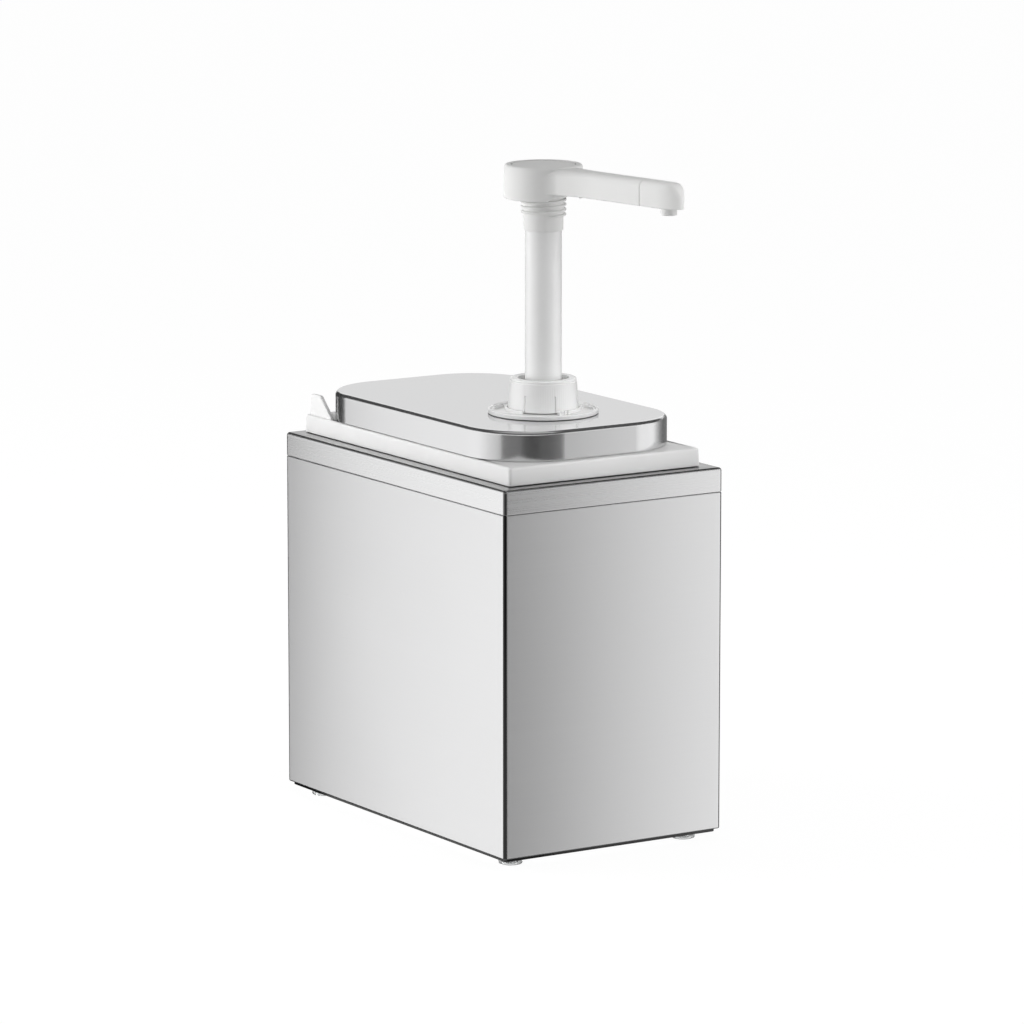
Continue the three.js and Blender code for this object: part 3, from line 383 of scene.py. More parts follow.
def soft_rubber(name, colour, roughness, clearness=0.0):
    """Rubber with a matt, slightly uneven skin. clearness is the share of light that passes through."""
    material, tree, shader = new_material(name)
    place = object_place(tree)
    cloud = noise_at(tree, place, (120, 120, 120), 3.0)
    skin = noise_at(tree, place, (1800, 1800, 1800))
    set_inputs(tree, shader, {
        "Base Color": tinted(tree, ranged(tree, cloud, 0, 1), scaled(colour, 0.88), colour),
        "Roughness": ranged(tree, skin, roughness * 0.85, roughness * 1.1), "Transmission Weight": clearness,
        "Normal": bumped(tree, skin, 0.00003, 0.4),
    })
    return material


# Sizes and colours that a user would change


def length_prop(name, description, default):
    """A length that a user can change, in metres."""
    return FloatProperty(name=name, description=description, default=default, unit="LENGTH")


def colour_prop(name, description, default):
    """A colour that a user can change."""
    return FloatVectorProperty(
        name=name, description=description, default=default, size=3, subtype="COLOR", min=0, max=1)


def power_prop(name, description, default):
    """The power of a lamp that a user can change, in watts."""
    return FloatProperty(name=name, description=description, default=default, min=0, unit="POWER")


class HousingSettings(bpy.types.PropertyGroup):
    width: length_prop("Width", "Width of the housing across the front", 0.162)
    depth: length_prop("Depth", "Depth of the housing", 0.265)
    sheet: length_prop("Sheet", "Thickness of the housing's steel", 0.0012)
    corner_radius: length_prop("Corner radius", "Bend radius of the upright corners", 0.002)
    edge_radius: length_prop("Edge radius", "Bend radius of the top frame", 0.0022)
    flange_width: length_prop("Flange width", "Width of the top frame's level flange", 0.0126)
    return_width: length_prop("Return width", "Width of the folded-in foot of the walls", 0.0244)
    plate_overlap: length_prop(
        "Plate overlap", "How far the base plate's rolled edge reaches past its blank", 0.0011)
    steel_colour: colour_prop("Steel", "Colour of the brushed steel", (0.885, 0.885, 0.888))
    foot_colour: colour_prop("Feet", "Colour of the rubber feet", (0.86, 0.87, 0.87))


class ContainerSettings(bpy.types.PropertyGroup):
    wall: length_prop("Wall", "Thickness of the container's wall", 0.0024)
    rim_corner: length_prop("Rim corner", "Corner radius of the rim", 0.0023)
    rim_edge: length_prop("Rim edge", "Rounding of the rim's top edge", 0.0014)
    floor_radius: length_prop("Floor radius", "Rounding between wall and floor", 0.009)
    plastic_colour: colour_prop("Container plastic", "Colour of the container", (0.885, 0.885, 0.882))


class LidSettings(bpy.types.PropertyGroup):
    sheet: length_prop("Sheet", "Thickness of the lid's steel", 0.0009)
    corner_radius: length_prop("Corner radius", "Radius of the lid's corners seen from above", 0.0435)
    edge_radius: length_prop("Edge radius", "Rounding of the lid's top edge", 0.003)
    steel_colour: colour_prop("Lid steel", "Colour of the drawn steel", (0.81, 0.81, 0.814))


class PumpSettings(bpy.types.PropertyGroup):
    stem_radius: length_prop("Stem radius", "Radius of the moving stem", 0.0116)
    stem_bore: length_prop("Stem bore", "Radius of the stem's bore", 0.0085)
    thread_pitch: length_prop("Thread pitch", "Rise of the lock thread in one turn", 0.0031)
    thread_height: length_prop("Thread height", "How far the lock thread stands out", 0.0017)
    nut_slots: IntProperty(
        name="Nut slots", description="Upright slots round the collar nut", default=7, min=0, max=24)
    spring_turns: IntProperty(
        name="Spring turns", description="Turns of the return spring", default=12, min=2, max=30)
    # the collar colour is set lighter than the pump's, partly as painted light on the flange, nut and stem
    collar_colour: colour_prop(
        "Collar plastic", "Colour of the glossier flange, nut and stem", (0.93, 0.93, 0.928))
    plastic_colour: colour_prop("Pump plastic", "Colour of the pump's mouldings", (0.9, 0.9, 0.898))


class HeadSettings(bpy.types.PropertyGroup):
    top_radius: length_prop("Head radius", "Radius of the round head at its top", 0.0246)
    flare: length_prop("Flare", "How much wider the head is at its lower edge", 0.0002)
    edge_radius: length_prop("Edge radius", "Rounding of the head's top edge", 0.0032)
    arm_width: length_prop("Arm width", "Width of the arm", 0.0156)
    arm_edge: length_prop("Arm edge", "Rounding of the arm's top edges", 0.0044)
    blend_radius: length_prop("Blend radius", "Radius of the hollow between head and arm", 0.013)
    nose_radius: length_prop("Nose radius", "Rounding of the elbow's top end", 0.0095)


class StageSettings(bpy.types.PropertyGroup):
    left_light: power_prop("Left light", "Power of the left side light", 19.5)
    right_light: power_prop("Right light", "Power of the right side light", 8.8)
    top_light: power_prop("Top light", "Power of the light overhead", 2.0)
    deck_light: power_prop("Deck light", "Power of the narrow light on the deck", 0.027)
    fill_light: FloatProperty(
        name="Fill", description="Strength of the even light from all round", default=0.375, min=0)
    floor_colour: colour_prop("Floor", "Colour of the floor", (0.9, 0.9, 0.9))


# Housing


class DISPENSER_OT_housing(bpy.types.Operator):
    """Make the steel walls, the top frame and the base plate"""
    bl_idname = "dispenser.housing"
    bl_label = "Steel housing"

    def execute(self, context):
        settings = context.scene.dispenser_housing
        size = in_millimetres(settings)
        colour = tuple(settings.steel_colour)
        # painted shade: the last values, 0.07 and 0.3, darken the marked bends, edges and level flange of the walls,
        # base plate and top frame
        walls = brushed_steel("wall_steel", colour, 0.32, (7, 7, 4200), 0.012, 0.6, 0.04, 0.07)
        band = brushed_steel("band_steel", colour, 0.28, (7, 7, 3400), 0.022, 0.5, 0.05, 0.3)
        body, top, plate = box_of("housing_body"), box_of("housing_top_frame"), box_of("base_plate")
        seam = top.z0 - GAP
        lip, sheet = 1.5, size.sheet
        wall_corners = [
            (size.return_width, body.z0 + sheet), (size.return_width, body.z0), (0, body.z0, 1.0),
            (0, seam, 0.7), (lip, seam, 0.25), (lip, body.z1), (lip + sheet, body.z1),
            (lip + sheet, seam - sheet), (sheet, seam - sheet), (sheet, body.z0 + sheet),
        ]
        frame_corners = [
            (sheet, top.z0, 0.3), (0, top.z0, 0.35), (0, top.z1, size.edge_radius),
            (size.flange_width, top.z1, 0.35), (size.flange_width, top.z1 - sheet, 0.35),
            (sheet, top.z1 - sheet, 0.3),
        ]
        for name, node, steel, corners, steps in (("housing_walls", "housing_body", walls, wall_corners, 4),
                                                  ("top_frame", "housing_top_frame", band, frame_corners, 6)):
            shell = self.about_housing(filleted(corners, steps=steps), size)
            piece = make_piece(name, [shell], steel, "housing", node)
            self.mark_bends(piece, size, top.z1, body.z0)

        profile = np.array([(0.6, plate.z0), (0.2, plate.z0 + 0.05), (0, plate.z0 + 0.3),
                            (0, plate.z1 - 0.3), (0.2, plate.z1 - 0.05), (0.6, plate.z1)])
        grow = size.plate_overlap
        rings = level_rings(profile, plate.x1 - plate.x0 + 2 * grow, plate.y1 - plate.y0 + 2 * grow, 2.2,
                            HOUSING_MIDDLE, side_cuts=(0.25, 0.5, 0.75))
        # rings drawn towards the middle close the plate below and above
        low, high = (flattened(rings[0], (*HOUSING_MIDDLE, z)) for z in (plate.z0, plate.z1))
        rings = np.concatenate([spread_to(rings[0], low, (1, 0.5, 0.04)), rings,
                                spread_to(rings[-1], high, (0.04, 0.5, 1))])
        piece = make_piece("bottom_plate", [grid_shell(rings)], walls, "housing", "base_plate")
        self.mark_edge(piece, plate)
        return {"FINISHED"}

    def about_housing(self, profile, size):
        """A closed profile of inset and height carried round the housing's plan."""
        rings = level_rings(profile, size.width, size.depth, size.corner_radius, HOUSING_MIDDLE,
                            corner_steps=6, side_cuts=(0.004, 0.25, 0.5, 0.75, 0.996))
        return grid_shell(rings, True)

    def mark_bends(self, piece, size, top, bottom):
        """The attribute bend is 1 at the bottom edge, in the upright corners and on the level flange's narrow ends,
        0.7 on the rest of the level flange, and 0 on the walls. It carries painted shade: dark lines in the bends and
        along the bottom edge, and a darker level flange, darkest at its narrow ends."""
        x, y, z = (corner_places(piece) - [*HOUSING_MIDDLE, 0]).T
        width, depth = size.width / 2, size.depth / 2
        reach = size.corner_radius - 0.05
        corner = (np.abs(x) > width - reach) & (np.abs(y) > depth - reach)
        level = (np.abs(z - top) < 0.5) & ~corner
        at_end = np.abs(y) > depth - size.flange_width
        full = corner | (z < bottom + 0.9) | (level & at_end)
        set_share(piece.data, "bend", np.where(full, 1.0, np.where(level, 0.7, 0.0)))

    def mark_edge(self, piece, plate):
        """The attribute bend is 1 within half a millimetre of the plate's outline, where painted shade darkens its
        cut edge.
        """
        x, y, _ = corner_places(piece).T
        inside = np.minimum(np.minimum(x - plate.x0, plate.x1 - x), np.minimum(y - plate.y0, plate.y1 - y))
        set_share(piece.data, "bend", inside < 0.5)


class DISPENSER_OT_feet(bpy.types.Operator):
    """Make the four rubber feet with their screws and nuts"""
    bl_idname = "dispenser.feet"
    bl_label = "Feet"

    def execute(self, context):
        colour = tuple(context.scene.dispenser_housing.foot_colour)
        rubber = soft_rubber("foot_rubber", colour, 0.16, 0.85)
        hardware = brushed_steel("screw_steel", (0.56, 0.56, 0.57), 0.34, (600, 600, 900), 0.08, 0.0)
        for place in ("front_left", "front_right", "rear_left", "rear_right"):
            foot, screw, nut = box_of(f"foot_{place}"), box_of(f"foot_screw_{place}"), box_of(f"foot_nut_{place}")
            middle = ((foot.x0 + foot.x1) / 2, (foot.y0 + foot.y1) / 2)
            radius, head = (foot.x1 - foot.x0) / 2, (screw.x1 - screw.x0) / 2
            seat = screw.z0 + 1.6
            disc = turned_piece([
                (head + 0.8, 0, 0.4), (radius - 0.3, 0, 0.9), (radius, foot.z1, 0.5), (2.3, foot.z1, 0.1),
                (2.3, seat, 0.1), (head + 0.8, seat, 0.3),
            ], 64, 5, middle)
            make_piece(f"rubber_foot_{place}", [disc], rubber, "housing", f"foot_{place}")
            shank = turned_piece([
                (0, screw.z0 + 0.5), (1.1, screw.z0 + 0.5, 0.1), (1.3, screw.z0, 0.2), (head, screw.z0 + 0.5, 0.4),
                (head, screw.z0 + 1.3, 0.15), (2, screw.z0 + 1.3), (2, screw.z1, 0.4), (0, screw.z1),
            ], 32, 3, middle, False)
            make_piece(f"foot_bolt_{place}", [shank], hardware, "housing", f"foot_screw_{place}")
            make_piece(f"hexagon_nut_{place}", [hexagon_nut(nut, middle)], hardware, "housing",
                       f"foot_nut_{place}")
        return {"FINISHED"}


def hexagon_nut(nut, middle, sides=96):
    """A six-sided nut: its outside radius is half the width across flats / cos(angle from the nearest flat's
    middle), and a cone cuts its six corners off at both ends."""
    angle = all_round(sides)
    across_x, across_y = nut.x1 - nut.x0, nut.y1 - nut.y0
    flat = min(across_x, across_y) / 2
    turn = 0 if across_y > across_x else math.pi / 6
    from_flat = (angle + turn + math.pi / 6) % (math.pi / 3) - math.pi / 6
    outside = flat / np.cos(from_flat)
    ends = np.minimum(outside, flat * 1.02)
    hole = 2.05 + 0 * angle
    radius = np.stack([hole + 0.3, hole, hole, hole + 0.3, ends, outside, outside, ends])
    height = [nut.z0, nut.z0 + 0.3, nut.z1 - 0.3, nut.z1, nut.z1, nut.z1 - 0.35, nut.z0 + 0.35, nut.z0]
    return grid_shell(about(radius, angle, np.array(height)[:, None], middle), True)


# Container


class DISPENSER_OT_container(bpy.types.Operator):
    """Make the plastic container with its rim and two lugs"""
    bl_idname = "dispenser.container"
    bl_label = "Container"

    def execute(self, context):
        settings = context.scene.dispenser_container
        size = in_millimetres(settings)
        plastic = moulded_plastic("container_plastic", tuple(settings.plastic_colour), 0.4, 0.35)
        tub, lid = box_of("container"), box_of("lid")
        lid_radius = in_millimetres(context.scene.dispenser_lid).corner_radius
        deck, bottom = lid.z0 - GAP, tub.z0
        rim_bottom = box_of("housing_top_frame").z1 + GAP
        rim_width, rim_depth = tub.x1 - tub.x0 - 1, tub.y1 - tub.y0 - 1
        wall, draft = size.wall, 3.2
        lip = 1.4

        cuts = (0.01, 0.25, 0.5, 0.75, 0.99)

        def about_lid(corners):
            """Rings of a profile carried round the lid's plan."""
            return level_rings(filleted(corners, False, 8), lid.x1 - lid.x0, lid.y1 - lid.y0, lid_radius,
                               CONTAINER_MIDDLE, 2, 12, cuts)

        def about_rim(corners):
            """Rings of a profile carried round the rim's plan. Both ways they stand further out, by
            0.5 * (deck - height) / (deck - rim_bottom), so that the rim widens evenly downwards."""
            profile = filleted(corners, False, 5)
            flare = 0.5 * (deck - profile[:, 1][:, None]) / (deck - rim_bottom)
            rings = level_rings(profile, rim_width, rim_depth, size.rim_corner, CONTAINER_MIDDLE, 0.8, 12, cuts)
            for axis in (0, 1):
                rings[..., axis] += flare * np.sign(rings[..., axis] - CONTAINER_MIDDLE[axis])
            return rings

        outside = lip + 1
        under = about_lid([(40, bottom), (outside + draft, bottom, size.floor_radius),
                           (outside, deck - wall - 0.02)])
        rim = about_rim([(wall + 1.2, deck - wall), (wall, deck - wall, 0.8), (wall, rim_bottom, 0.5),
                         (0, rim_bottom, 0.5), (0, deck, size.rim_edge), (3.4, deck)])
        inner = about_lid([(lip - 0.9, deck), (lip, deck, 0.6), (lip, deck + 8, 0.8),
                           (lip + wall + 1, deck + 8, 0.8),
                           (lip + wall + 1 + draft, bottom + wall, size.floor_radius), (42, bottom + wall)])
        low, high = (flattened(under[0], (*CONTAINER_MIDDLE, z)) for z in (bottom, bottom + wall))
        rings = np.concatenate([spread_to(under[0], low, (1, 0.5, 0.1)), under, rim, inner,
                                spread_to(inner[-1], high, (0.1, 0.5, 1))])
        lugs = [self.lug(side, rim_width, rim_depth, deck) for side in (-1, 1)]
        make_piece("white_container", [grid_shell(rings), *lugs], plastic, "container", "container",
                   50)
        return {"FINISHED"}

    def lug(self, side, rim_width, rim_depth, deck):
        """An upright lug: its side outline, given along the length and up, is carried across its thickness, and
        grows smaller towards both faces by a quarter round."""
        thickness, rounding = 2.6, 0.8
        outline = filleted([(-2.2, -1.2), (-28.5, -1.2), (-28.5, 0, 1.5), (-14, 13.8, 3.2),
                            (-1.8, 13.8, 3.2)], True, 7)
        angle = np.linspace(0, math.pi / 2, 6)
        inset = rounding * (1 - np.sin(angle))
        inset = np.concatenate([inset, inset[::-1]])
        from_face = rounding * (1 - np.cos(angle)) - thickness / 2
        across = np.concatenate([from_face, -from_face[::-1]])
        middle = flattened(outline, (-10, 5))
        toward = middle - outline
        rows = outline + toward / np.linalg.norm(toward, axis=1, keepdims=True) * inset[:, None, None]
        face = np.concatenate([spread_to(rows[0], middle, (1, 0.3, 0.05)), rows,
                               spread_to(rows[-1], middle, (0.05, 0.3, 1))])
        across = np.concatenate([[-thickness / 2] * 3, across, [thickness / 2] * 3])
        x = side * (rim_width / 2 - 1.6 - thickness / 2) + across[:, None] + 0 * face[..., 0]
        y = CONTAINER_MIDDLE[1] + rim_depth / 2 - 1.6 + face[..., 0]
        return grid_shell(np.stack([x, y, deck + face[..., 1]], -1))


# Lid


class DISPENSER_OT_lid(bpy.types.Operator):
    """Make the drawn steel lid with the hole for the pump"""
    bl_idname = "dispenser.lid"
    bl_label = "Lid"

    def execute(self, context):
        settings = context.scene.dispenser_lid
        size = in_millimetres(settings)
        # painted shade: the last value, 0.99, darkens the lid's level top a little
        steel = brushed_steel("lid_steel", tuple(settings.steel_colour), 0.19, (260, 260, 700), 0.02, 0.0,
                              0.1, 0.99)
        lid = box_of("lid")
        top, sheet, edge = lid.z1, size.sheet, size.edge_radius
        outer = filleted([(edge + 4, top), (0, top, edge), (0, lid.z0, 0.3), (sheet, lid.z0, 0.3),
                          (sheet, top - sheet, edge - sheet), (edge + 4, top - sheet)], False, 9)
        rings = level_rings(outer, lid.x1 - lid.x0, lid.y1 - lid.y0, size.corner_radius, CONTAINER_MIDDLE, 2,
                            20, (0.01, 0.2, 0.4, 0.6, 0.8, 0.99))
        # the level top: hole + share * (outline - hole), where each point of the hole has the outline's bearing
        angle = np.arctan2(rings[0][:, 1] - PUMP_AXIS[1], rings[0][:, 0] - PUMP_AXIS[0])
        hole = about(LID_HOLE, angle, top)
        below = hole - [0, 0, sheet]
        spread = (0, 0.02, 0.15, 0.4, 0.7, 0.95)
        rings = np.concatenate([spread_to(hole, rings[0], spread), rings,
                                spread_to(below, rings[-1], spread)[::-1]])
        piece = make_piece("steel_lid", [grid_shell(rings, True)], steel, "lid", "lid", 30)
        # the level top is smoother than the drawn side, and painted shade makes it a little darker
        set_share(piece.data, "bend", corner_places(piece)[:, 2] > top - 0.1)
        return {"FINISHED"}


# Pump


class DISPENSER_OT_flange(bpy.types.Operator):
    """Make the pump's flange with its bead, kidney slots, guard ring and teeth"""
    bl_idname = "dispenser.flange"
    bl_label = "Pump flange"

    def execute(self, context):
        settings = context.scene.dispenser_pump
        # the pump's other pieces look both plastics up by name
        moulded_plastic("pump_plastic", tuple(settings.plastic_colour), 0.33, 0.12)
        # the collar plastic is glossier than the pump plastic, and its lighter colour is partly painted light that
        # brightens the flange, nut and stem
        gloss = moulded_plastic("collar_plastic", tuple(settings.collar_colour), 0.17, 0.12)
        flange = box_of("pump_flange")
        low = box_of("lid").z1 + GAP
        top = low + 1.7
        neck = turned_piece([
            (16.9, flange.z0, 0.3), (18.5, flange.z0, 0.3), (18.5, low + 0.4), (21, low + 0.4), (21, top),
            (18.5, top, 0.4), *self.thread(top), (18.5, flange.z1, 0.3), (16.9, flange.z1, 0.3),
        ], 120, 4)
        slot_floor = turned_ring(25.2, 32.1, low - 0.1, low + 0.15, (0.05, 0.05, 0.1, 0.1), 120, 3)
        guard = self.guard(22.8, 24.3, top - 0.8, top + 2.1, -100, 204)
        teeth = [self.guard(24.0, reach, top - 0.8, top + 2.4, start, end, 8)
                 for start, end, reach in ((-100, -95, 27), (-91, -88, 25.8), (-85, -82, 25.8))]
        make_piece("white_flange", [neck, self.disc(low, top), slot_floor, guard, *teeth], gloss, "lid",
                   "pump_flange", 40)
        return {"FINISHED"}

    def thread(self, top):
        """Corners of the neck's hidden thread: two sloped rings that stand out by 0.7, at a distance of 3.6."""
        return [(radius, top + 2.5 + 3.6 * turn + rise, 0.2) for turn in range(2)
                for radius, rise in ((18.5, 0), (19.2, 1.26), (18.5, 2.5))]

    def disc(self, low, top):
        """The disc on a polar grid. Its radii follow the bead's profile. Near a kidney slot the lines of equal
        angle bend by (1 - sqrt(1 - t^2)) * half the slot's width / radius, t running from -1 to 1 across the slot,
        so that they follow its round ends. The faces inside the slot are left out and it is given walls."""
        slot_middle, slot_half = 28.7, 2.9
        slots = np.array([(-36.0, 2.0), (114.0, 152.0)])
        plain = [20.5, 22, 24]
        across = slot_middle + slot_half * np.sin(np.linspace(-math.pi / 2, math.pi / 2, 13))
        bead = filleted([(32.4, top), (32.8, top, 0.3), (33.2, top + 0.9, 0.6), (34.9, top + 0.9, 0.8),
                         (35, low, 0.3), (32.4, low)], False, 5)
        upper = np.concatenate([plain, across, [32.0]])
        radius = np.concatenate([upper, bead[:, 0], upper[::-1]])[:, None]
        height = np.concatenate([np.full(len(upper), top), bead[:, 1], np.full(len(upper), low)])[:, None]
        angle = np.concatenate([np.radians(np.arange(-180, 180, 3.0)), np.radians(slots).ravel()])
        angle = np.unique(np.round(angle, 6))
        bend = np.zeros_like(angle)
        for mark, sign in zip(np.radians(slots).ravel(), (1, -1, 1, -1)):
            bend += sign * np.clip(1 - np.abs(angle - mark) / math.radians(9), 0, 1)
        share = np.clip((radius - slot_middle) / slot_half, -1, 1)
        round_end = 1 - np.sqrt(1 - share ** 2)
        turn = angle + bend * (round_end * slot_half / radius) * 0.98
        points = about(radius, turn, height)
        places, faces = grid_shell(points, True)
        rows, columns = points.shape[:2]
        first_row, last_row = len(plain), len(plain) + len(across) - 1
        cell = np.arange(len(faces))
        row, column = cell // columns, cell % columns
        middle = np.degrees((angle[column] + np.append(angle[1:], angle[0] + 2 * math.pi)[column]) / 2)
        in_slot = sum((middle > start) & (middle < end) for start, end in slots) > 0
        above = (row >= first_row) & (row < last_row)
        below = (row >= rows - last_row) & (row < rows - first_row)
        walls = []
        for start, end in np.radians(slots):
            first, last = (int(np.argmin(np.abs(angle - mark))) for mark in (start, end))
            along, r = np.arange(first, last), np.arange(first_row, last_row)
            edges = [(first_row, along, first_row, along + 1, False), (last_row, along, last_row, along + 1, True),
                     (r, first, r + 1, first, True), (r, last, r + 1, last, False)]
            for r0, c0, r1, c1, flip in edges:
                corners = [r0 * columns + c0, r1 * columns + c1, (rows - 1 - r1) * columns + c1,
                           (rows - 1 - r0) * columns + c0]
                quads = np.stack(corners, -1)
                walls.append(quads[:, ::-1] if flip else quads)
        return places, np.concatenate([faces[~(in_slot & (above | below))], *walls])

    def guard(self, inner, outer, low, high, start, end, steps=90):
        """A raised wall on an arc: a profile with round top edges is carried from start to end, in degrees."""
        profile = filleted([(inner, low), (outer, low), (outer, high, 0.45), (inner, high, 0.45)], True, 4)
        centre = np.array([(inner + outer) / 2, (low + high) / 2])
        angle = np.radians(np.linspace(start, end, steps))
        end_cap = flattened(profile, centre)
        rings = np.stack([end_cap, *[profile] * steps, end_cap])
        angle = np.concatenate([angle[:1], angle, angle[-1:]])[:, None]
        return grid_shell(about(rings[..., 0], angle, rings[..., 1]))


class DISPENSER_OT_collar_nut(bpy.types.Operator):
    """Make the slotted nut that holds the pump to its flange"""
    bl_idname = "dispenser.collar_nut"
    bl_label = "Collar nut"

    def execute(self, context):
        settings = context.scene.dispenser_pump
        plastic = bpy.data.materials["collar_plastic"]
        nut = box_of("collar_nut")
        outside, top_radius, bore, mouth = (nut.x1 - nut.x0) / 2, 21.0, 19.6, 16.0
        ceiling = nut.z1 - 2.8
        profile = filleted([
            (bore, nut.z0, 0.3), (outside, nut.z0, 0.4), (top_radius + 0.25, nut.z1 - 2.1, 0.25),
            (top_radius - 0.2, nut.z1 - 1.8, 0.2), (top_radius, nut.z1 - 1.2, 0.2),
            (top_radius - 0.1, nut.z1 - 0.6, 0.3), (top_radius - 0.7, nut.z1, 0.3), (mouth, nut.z1, 0.5),
            (mouth, ceiling, 0.2), (bore, ceiling, 0.3),
        ], True, 5)
        # more rows up the side, where the slots and flutes are
        side = np.argmax(np.linalg.norm(np.diff(profile, axis=0), axis=1) * (profile[:-1, 0] > bore + 1))
        start, end = profile[side], profile[side + 1]
        cuts = start + (end - start) * np.array([0.05, 0.3, 0.48, 0.56, 0.585, 0.605, 0.64, 0.8, 0.95])[:, None]
        profile = np.concatenate([profile[:side + 1], cuts, profile[side + 1:]])
        slots = math.radians(-103) + all_round(settings.nut_slots)
        near = np.radians([-2.2, -1.75, -1.35, -1.15, -0.6, 0, 0.6, 1.15, 1.35, 1.75, 2.2])
        plain = np.radians(np.arange(0, 360, 1.25))
        wrapped = ((slots[:, None] + near).ravel() + 4 * math.pi) % (2 * math.pi)
        clear = turn_between(plain[:, None], wrapped).min(1) > math.radians(0.5)
        angle = np.sort(np.concatenate([plain[clear], wrapped]))
        gap = turn_between(angle[:, None], slots).min(1)
        # The side's radius is the profile's less 0.9 * slot, or less flute between the slots. slot rises from 0 to
        # 1 between 1.75 and 1.15 degrees from a slot's middle, and ends 10.6 above the nut's lower end. flute is
        # 0.06 * cos(90 * angle), and grows from 0 over the lowest quarter of that height.
        radius, height = profile[:, :1], profile[:, 1:]
        reach = (height - nut.z0) / 10.6
        outer_side = (radius > bore + 0.9) & (height < nut.z1 - 2.3)
        slot = np.clip((math.radians(1.75) - gap) / math.radians(0.6), 0, 1)
        slot = slot * np.clip((1 - reach) * 18, 0, 1)
        flute = 0.06 * np.cos(angle * 90) * np.clip(reach * 4, 0, 1) * (reach < 1.4)
        radius = radius - outer_side * (slot * 0.9 + flute * (slot < 0.1))
        make_piece("white_nut", [grid_shell(about(radius, angle, height), True)], plastic,
                   "collar_nut", "collar_nut", 35)
        return {"FINISHED"}


class DISPENSER_OT_barrel(bpy.types.Operator):
    """Make the pump's barrel, seals, foot valve and dip tube, which hang inside the container"""
    bl_idname = "dispenser.barrel"
    bl_label = "Barrel and valve"

    def execute(self, context):
        plastic = bpy.data.materials["pump_plastic"]
        seal = soft_rubber("seal_rubber", (0.3, 0.31, 0.32), 0.55)
        steel = brushed_steel("ball_steel", (0.62, 0.62, 0.63), 0.12, (300, 300, 300), 0.02, 0.0)
        tube, guide = box_of("pump_cylinder"), box_of("stem_guide")
        valve, dip = box_of("foot_valve"), box_of("dip_tube")
        floor, mouth, rim = tube.z0 + 17, tube.z1 - 22, tube.z1 - 2.3
        barrel = turned_piece([
            (0, floor - 3), (12.2, floor - 3), (12.2, tube.z0, 0.3), (15.8, tube.z0, 0.6),
            (15.8, mouth - 1.8, 0.6), (16.6, mouth - 0.2, 0.6), (16.6, rim), (18.4, rim, 0.3),
            (18.4, tube.z1, 0.5), (15, tube.z1, 0.5), (15, mouth, 0.4), (14, mouth - 0.6, 0.4),
            (14, floor, 0.5), (0, floor),
        ], 96, 4, closed=False)
        # four stiffening rings moulded round the barrel
        bands = [turned_ring(15, 16.3, z, z + 1.4, (0, 0.3, 0.3, 0), 96, 3) for z in (140, 175, 210, 245)]
        chamber = turned_piece([
            (4, valve.z0, 0.3), (5.6, valve.z0, 0.4), (6.2, valve.z0 + 3, 0.3), (5.8, valve.z0 + 3.2, 0.2),
            (5.8, valve.z0 + 6, 0.2), (6.2, valve.z0 + 9, 0.3), (5.8, valve.z0 + 9.2, 0.2), (6.2, valve.z0 + 13, 0.2),
            (6.2, valve.z0 + 14, 0.3), (11.9, valve.z0 + 14, 0.6), (11.9, valve.z1, 0.4), (9, valve.z1, 0.4),
            (9, valve.z0 + 18.8, 0.6), (4, valve.z0 + 16.4, 0.4),
        ], 72, 4)
        bush = turned_ring(11.9, 14.7, guide.z0, guide.z1, (0.5, 0.4, 0.4, 0.5))
        pickup = turned_ring(6.5, 8.3, dip.z0, dip.z1, (0.5, 0.6, 0.6, 0.5), 64)
        for name, node, shells in (
            ("pump_barrel", "pump_cylinder", [barrel, *bands]),
            ("lock_nut", "flange_lock_ring", [self.gripped_ring(box_of("flange_lock_ring"))]),
            ("guide_bush", "stem_guide", [bush]),
            ("inlet_valve", "foot_valve", [chamber]),
            ("pickup_tube", "dip_tube", [pickup]),
        ):
            make_piece(name, shells, plastic, "lid", node)
        for name, node, inner, outer in (
            ("lid_seal", "lid_gasket", LID_HOLE, 26.0), ("barrel_seal", "cylinder_gasket", 16.9, 18.4),
            ("wiper_seal", "stem_wiper", 11.9, 14.7), ("valve_seal", "foot_valve_ring", 9.0, 11.9),
        ):
            place = box_of(node)
            rounding = min(0.6, (place.z1 - place.z0) * 0.4)
            shell = turned_ring(inner, outer, place.z0, place.z1, rounding, 80)
            make_piece(name, [shell], seal, "lid", node)
        for name, node in (("inlet_steel_ball", "inlet_ball"), ("outlet_steel_ball", "outlet_ball")):
            place = box_of(node)
            radius, middle = (place.z1 - place.z0) / 2, (place.z1 + place.z0) / 2
            # a half circle, r cos(rise) across and r sin(rise) up, turned about the axis
            rise = np.linspace(-math.pi / 2, math.pi / 2, 25)
            profile = np.stack([radius * np.cos(rise), middle + radius * np.sin(rise)], -1)
            make_piece(name, [turned(profile, 48, closed=False)], steel, node, node, 180)
        return {"FINISHED"}

    def gripped_ring(self, ring):
        """The lock ring. Its outside radius dips twelve times round by 1.3 * wave, where wave is
        2.5 * cos(12 * angle) - 1.3, kept between 0 and 1."""
        profile = filleted([(LID_HOLE, ring.z0, 0.4), (27, ring.z0, 0.6), (27, ring.z1 - 1.4, 0.4),
                            (26.6, ring.z1 - 1.2, 0.2), (26.6, ring.z1, 0.3), (LID_HOLE, ring.z1, 0.4)], True, 4)
        angle = all_round(360)
        radius, height = profile[:, :1], profile[:, 1:]
        wave = np.clip(np.cos(angle * 12) * 2.5 - 1.3, 0, 1)
        radius = radius - wave * 1.3 * (radius > 24) * (height < ring.z1 - 1.3)
        return grid_shell(about(radius, angle, height), True)


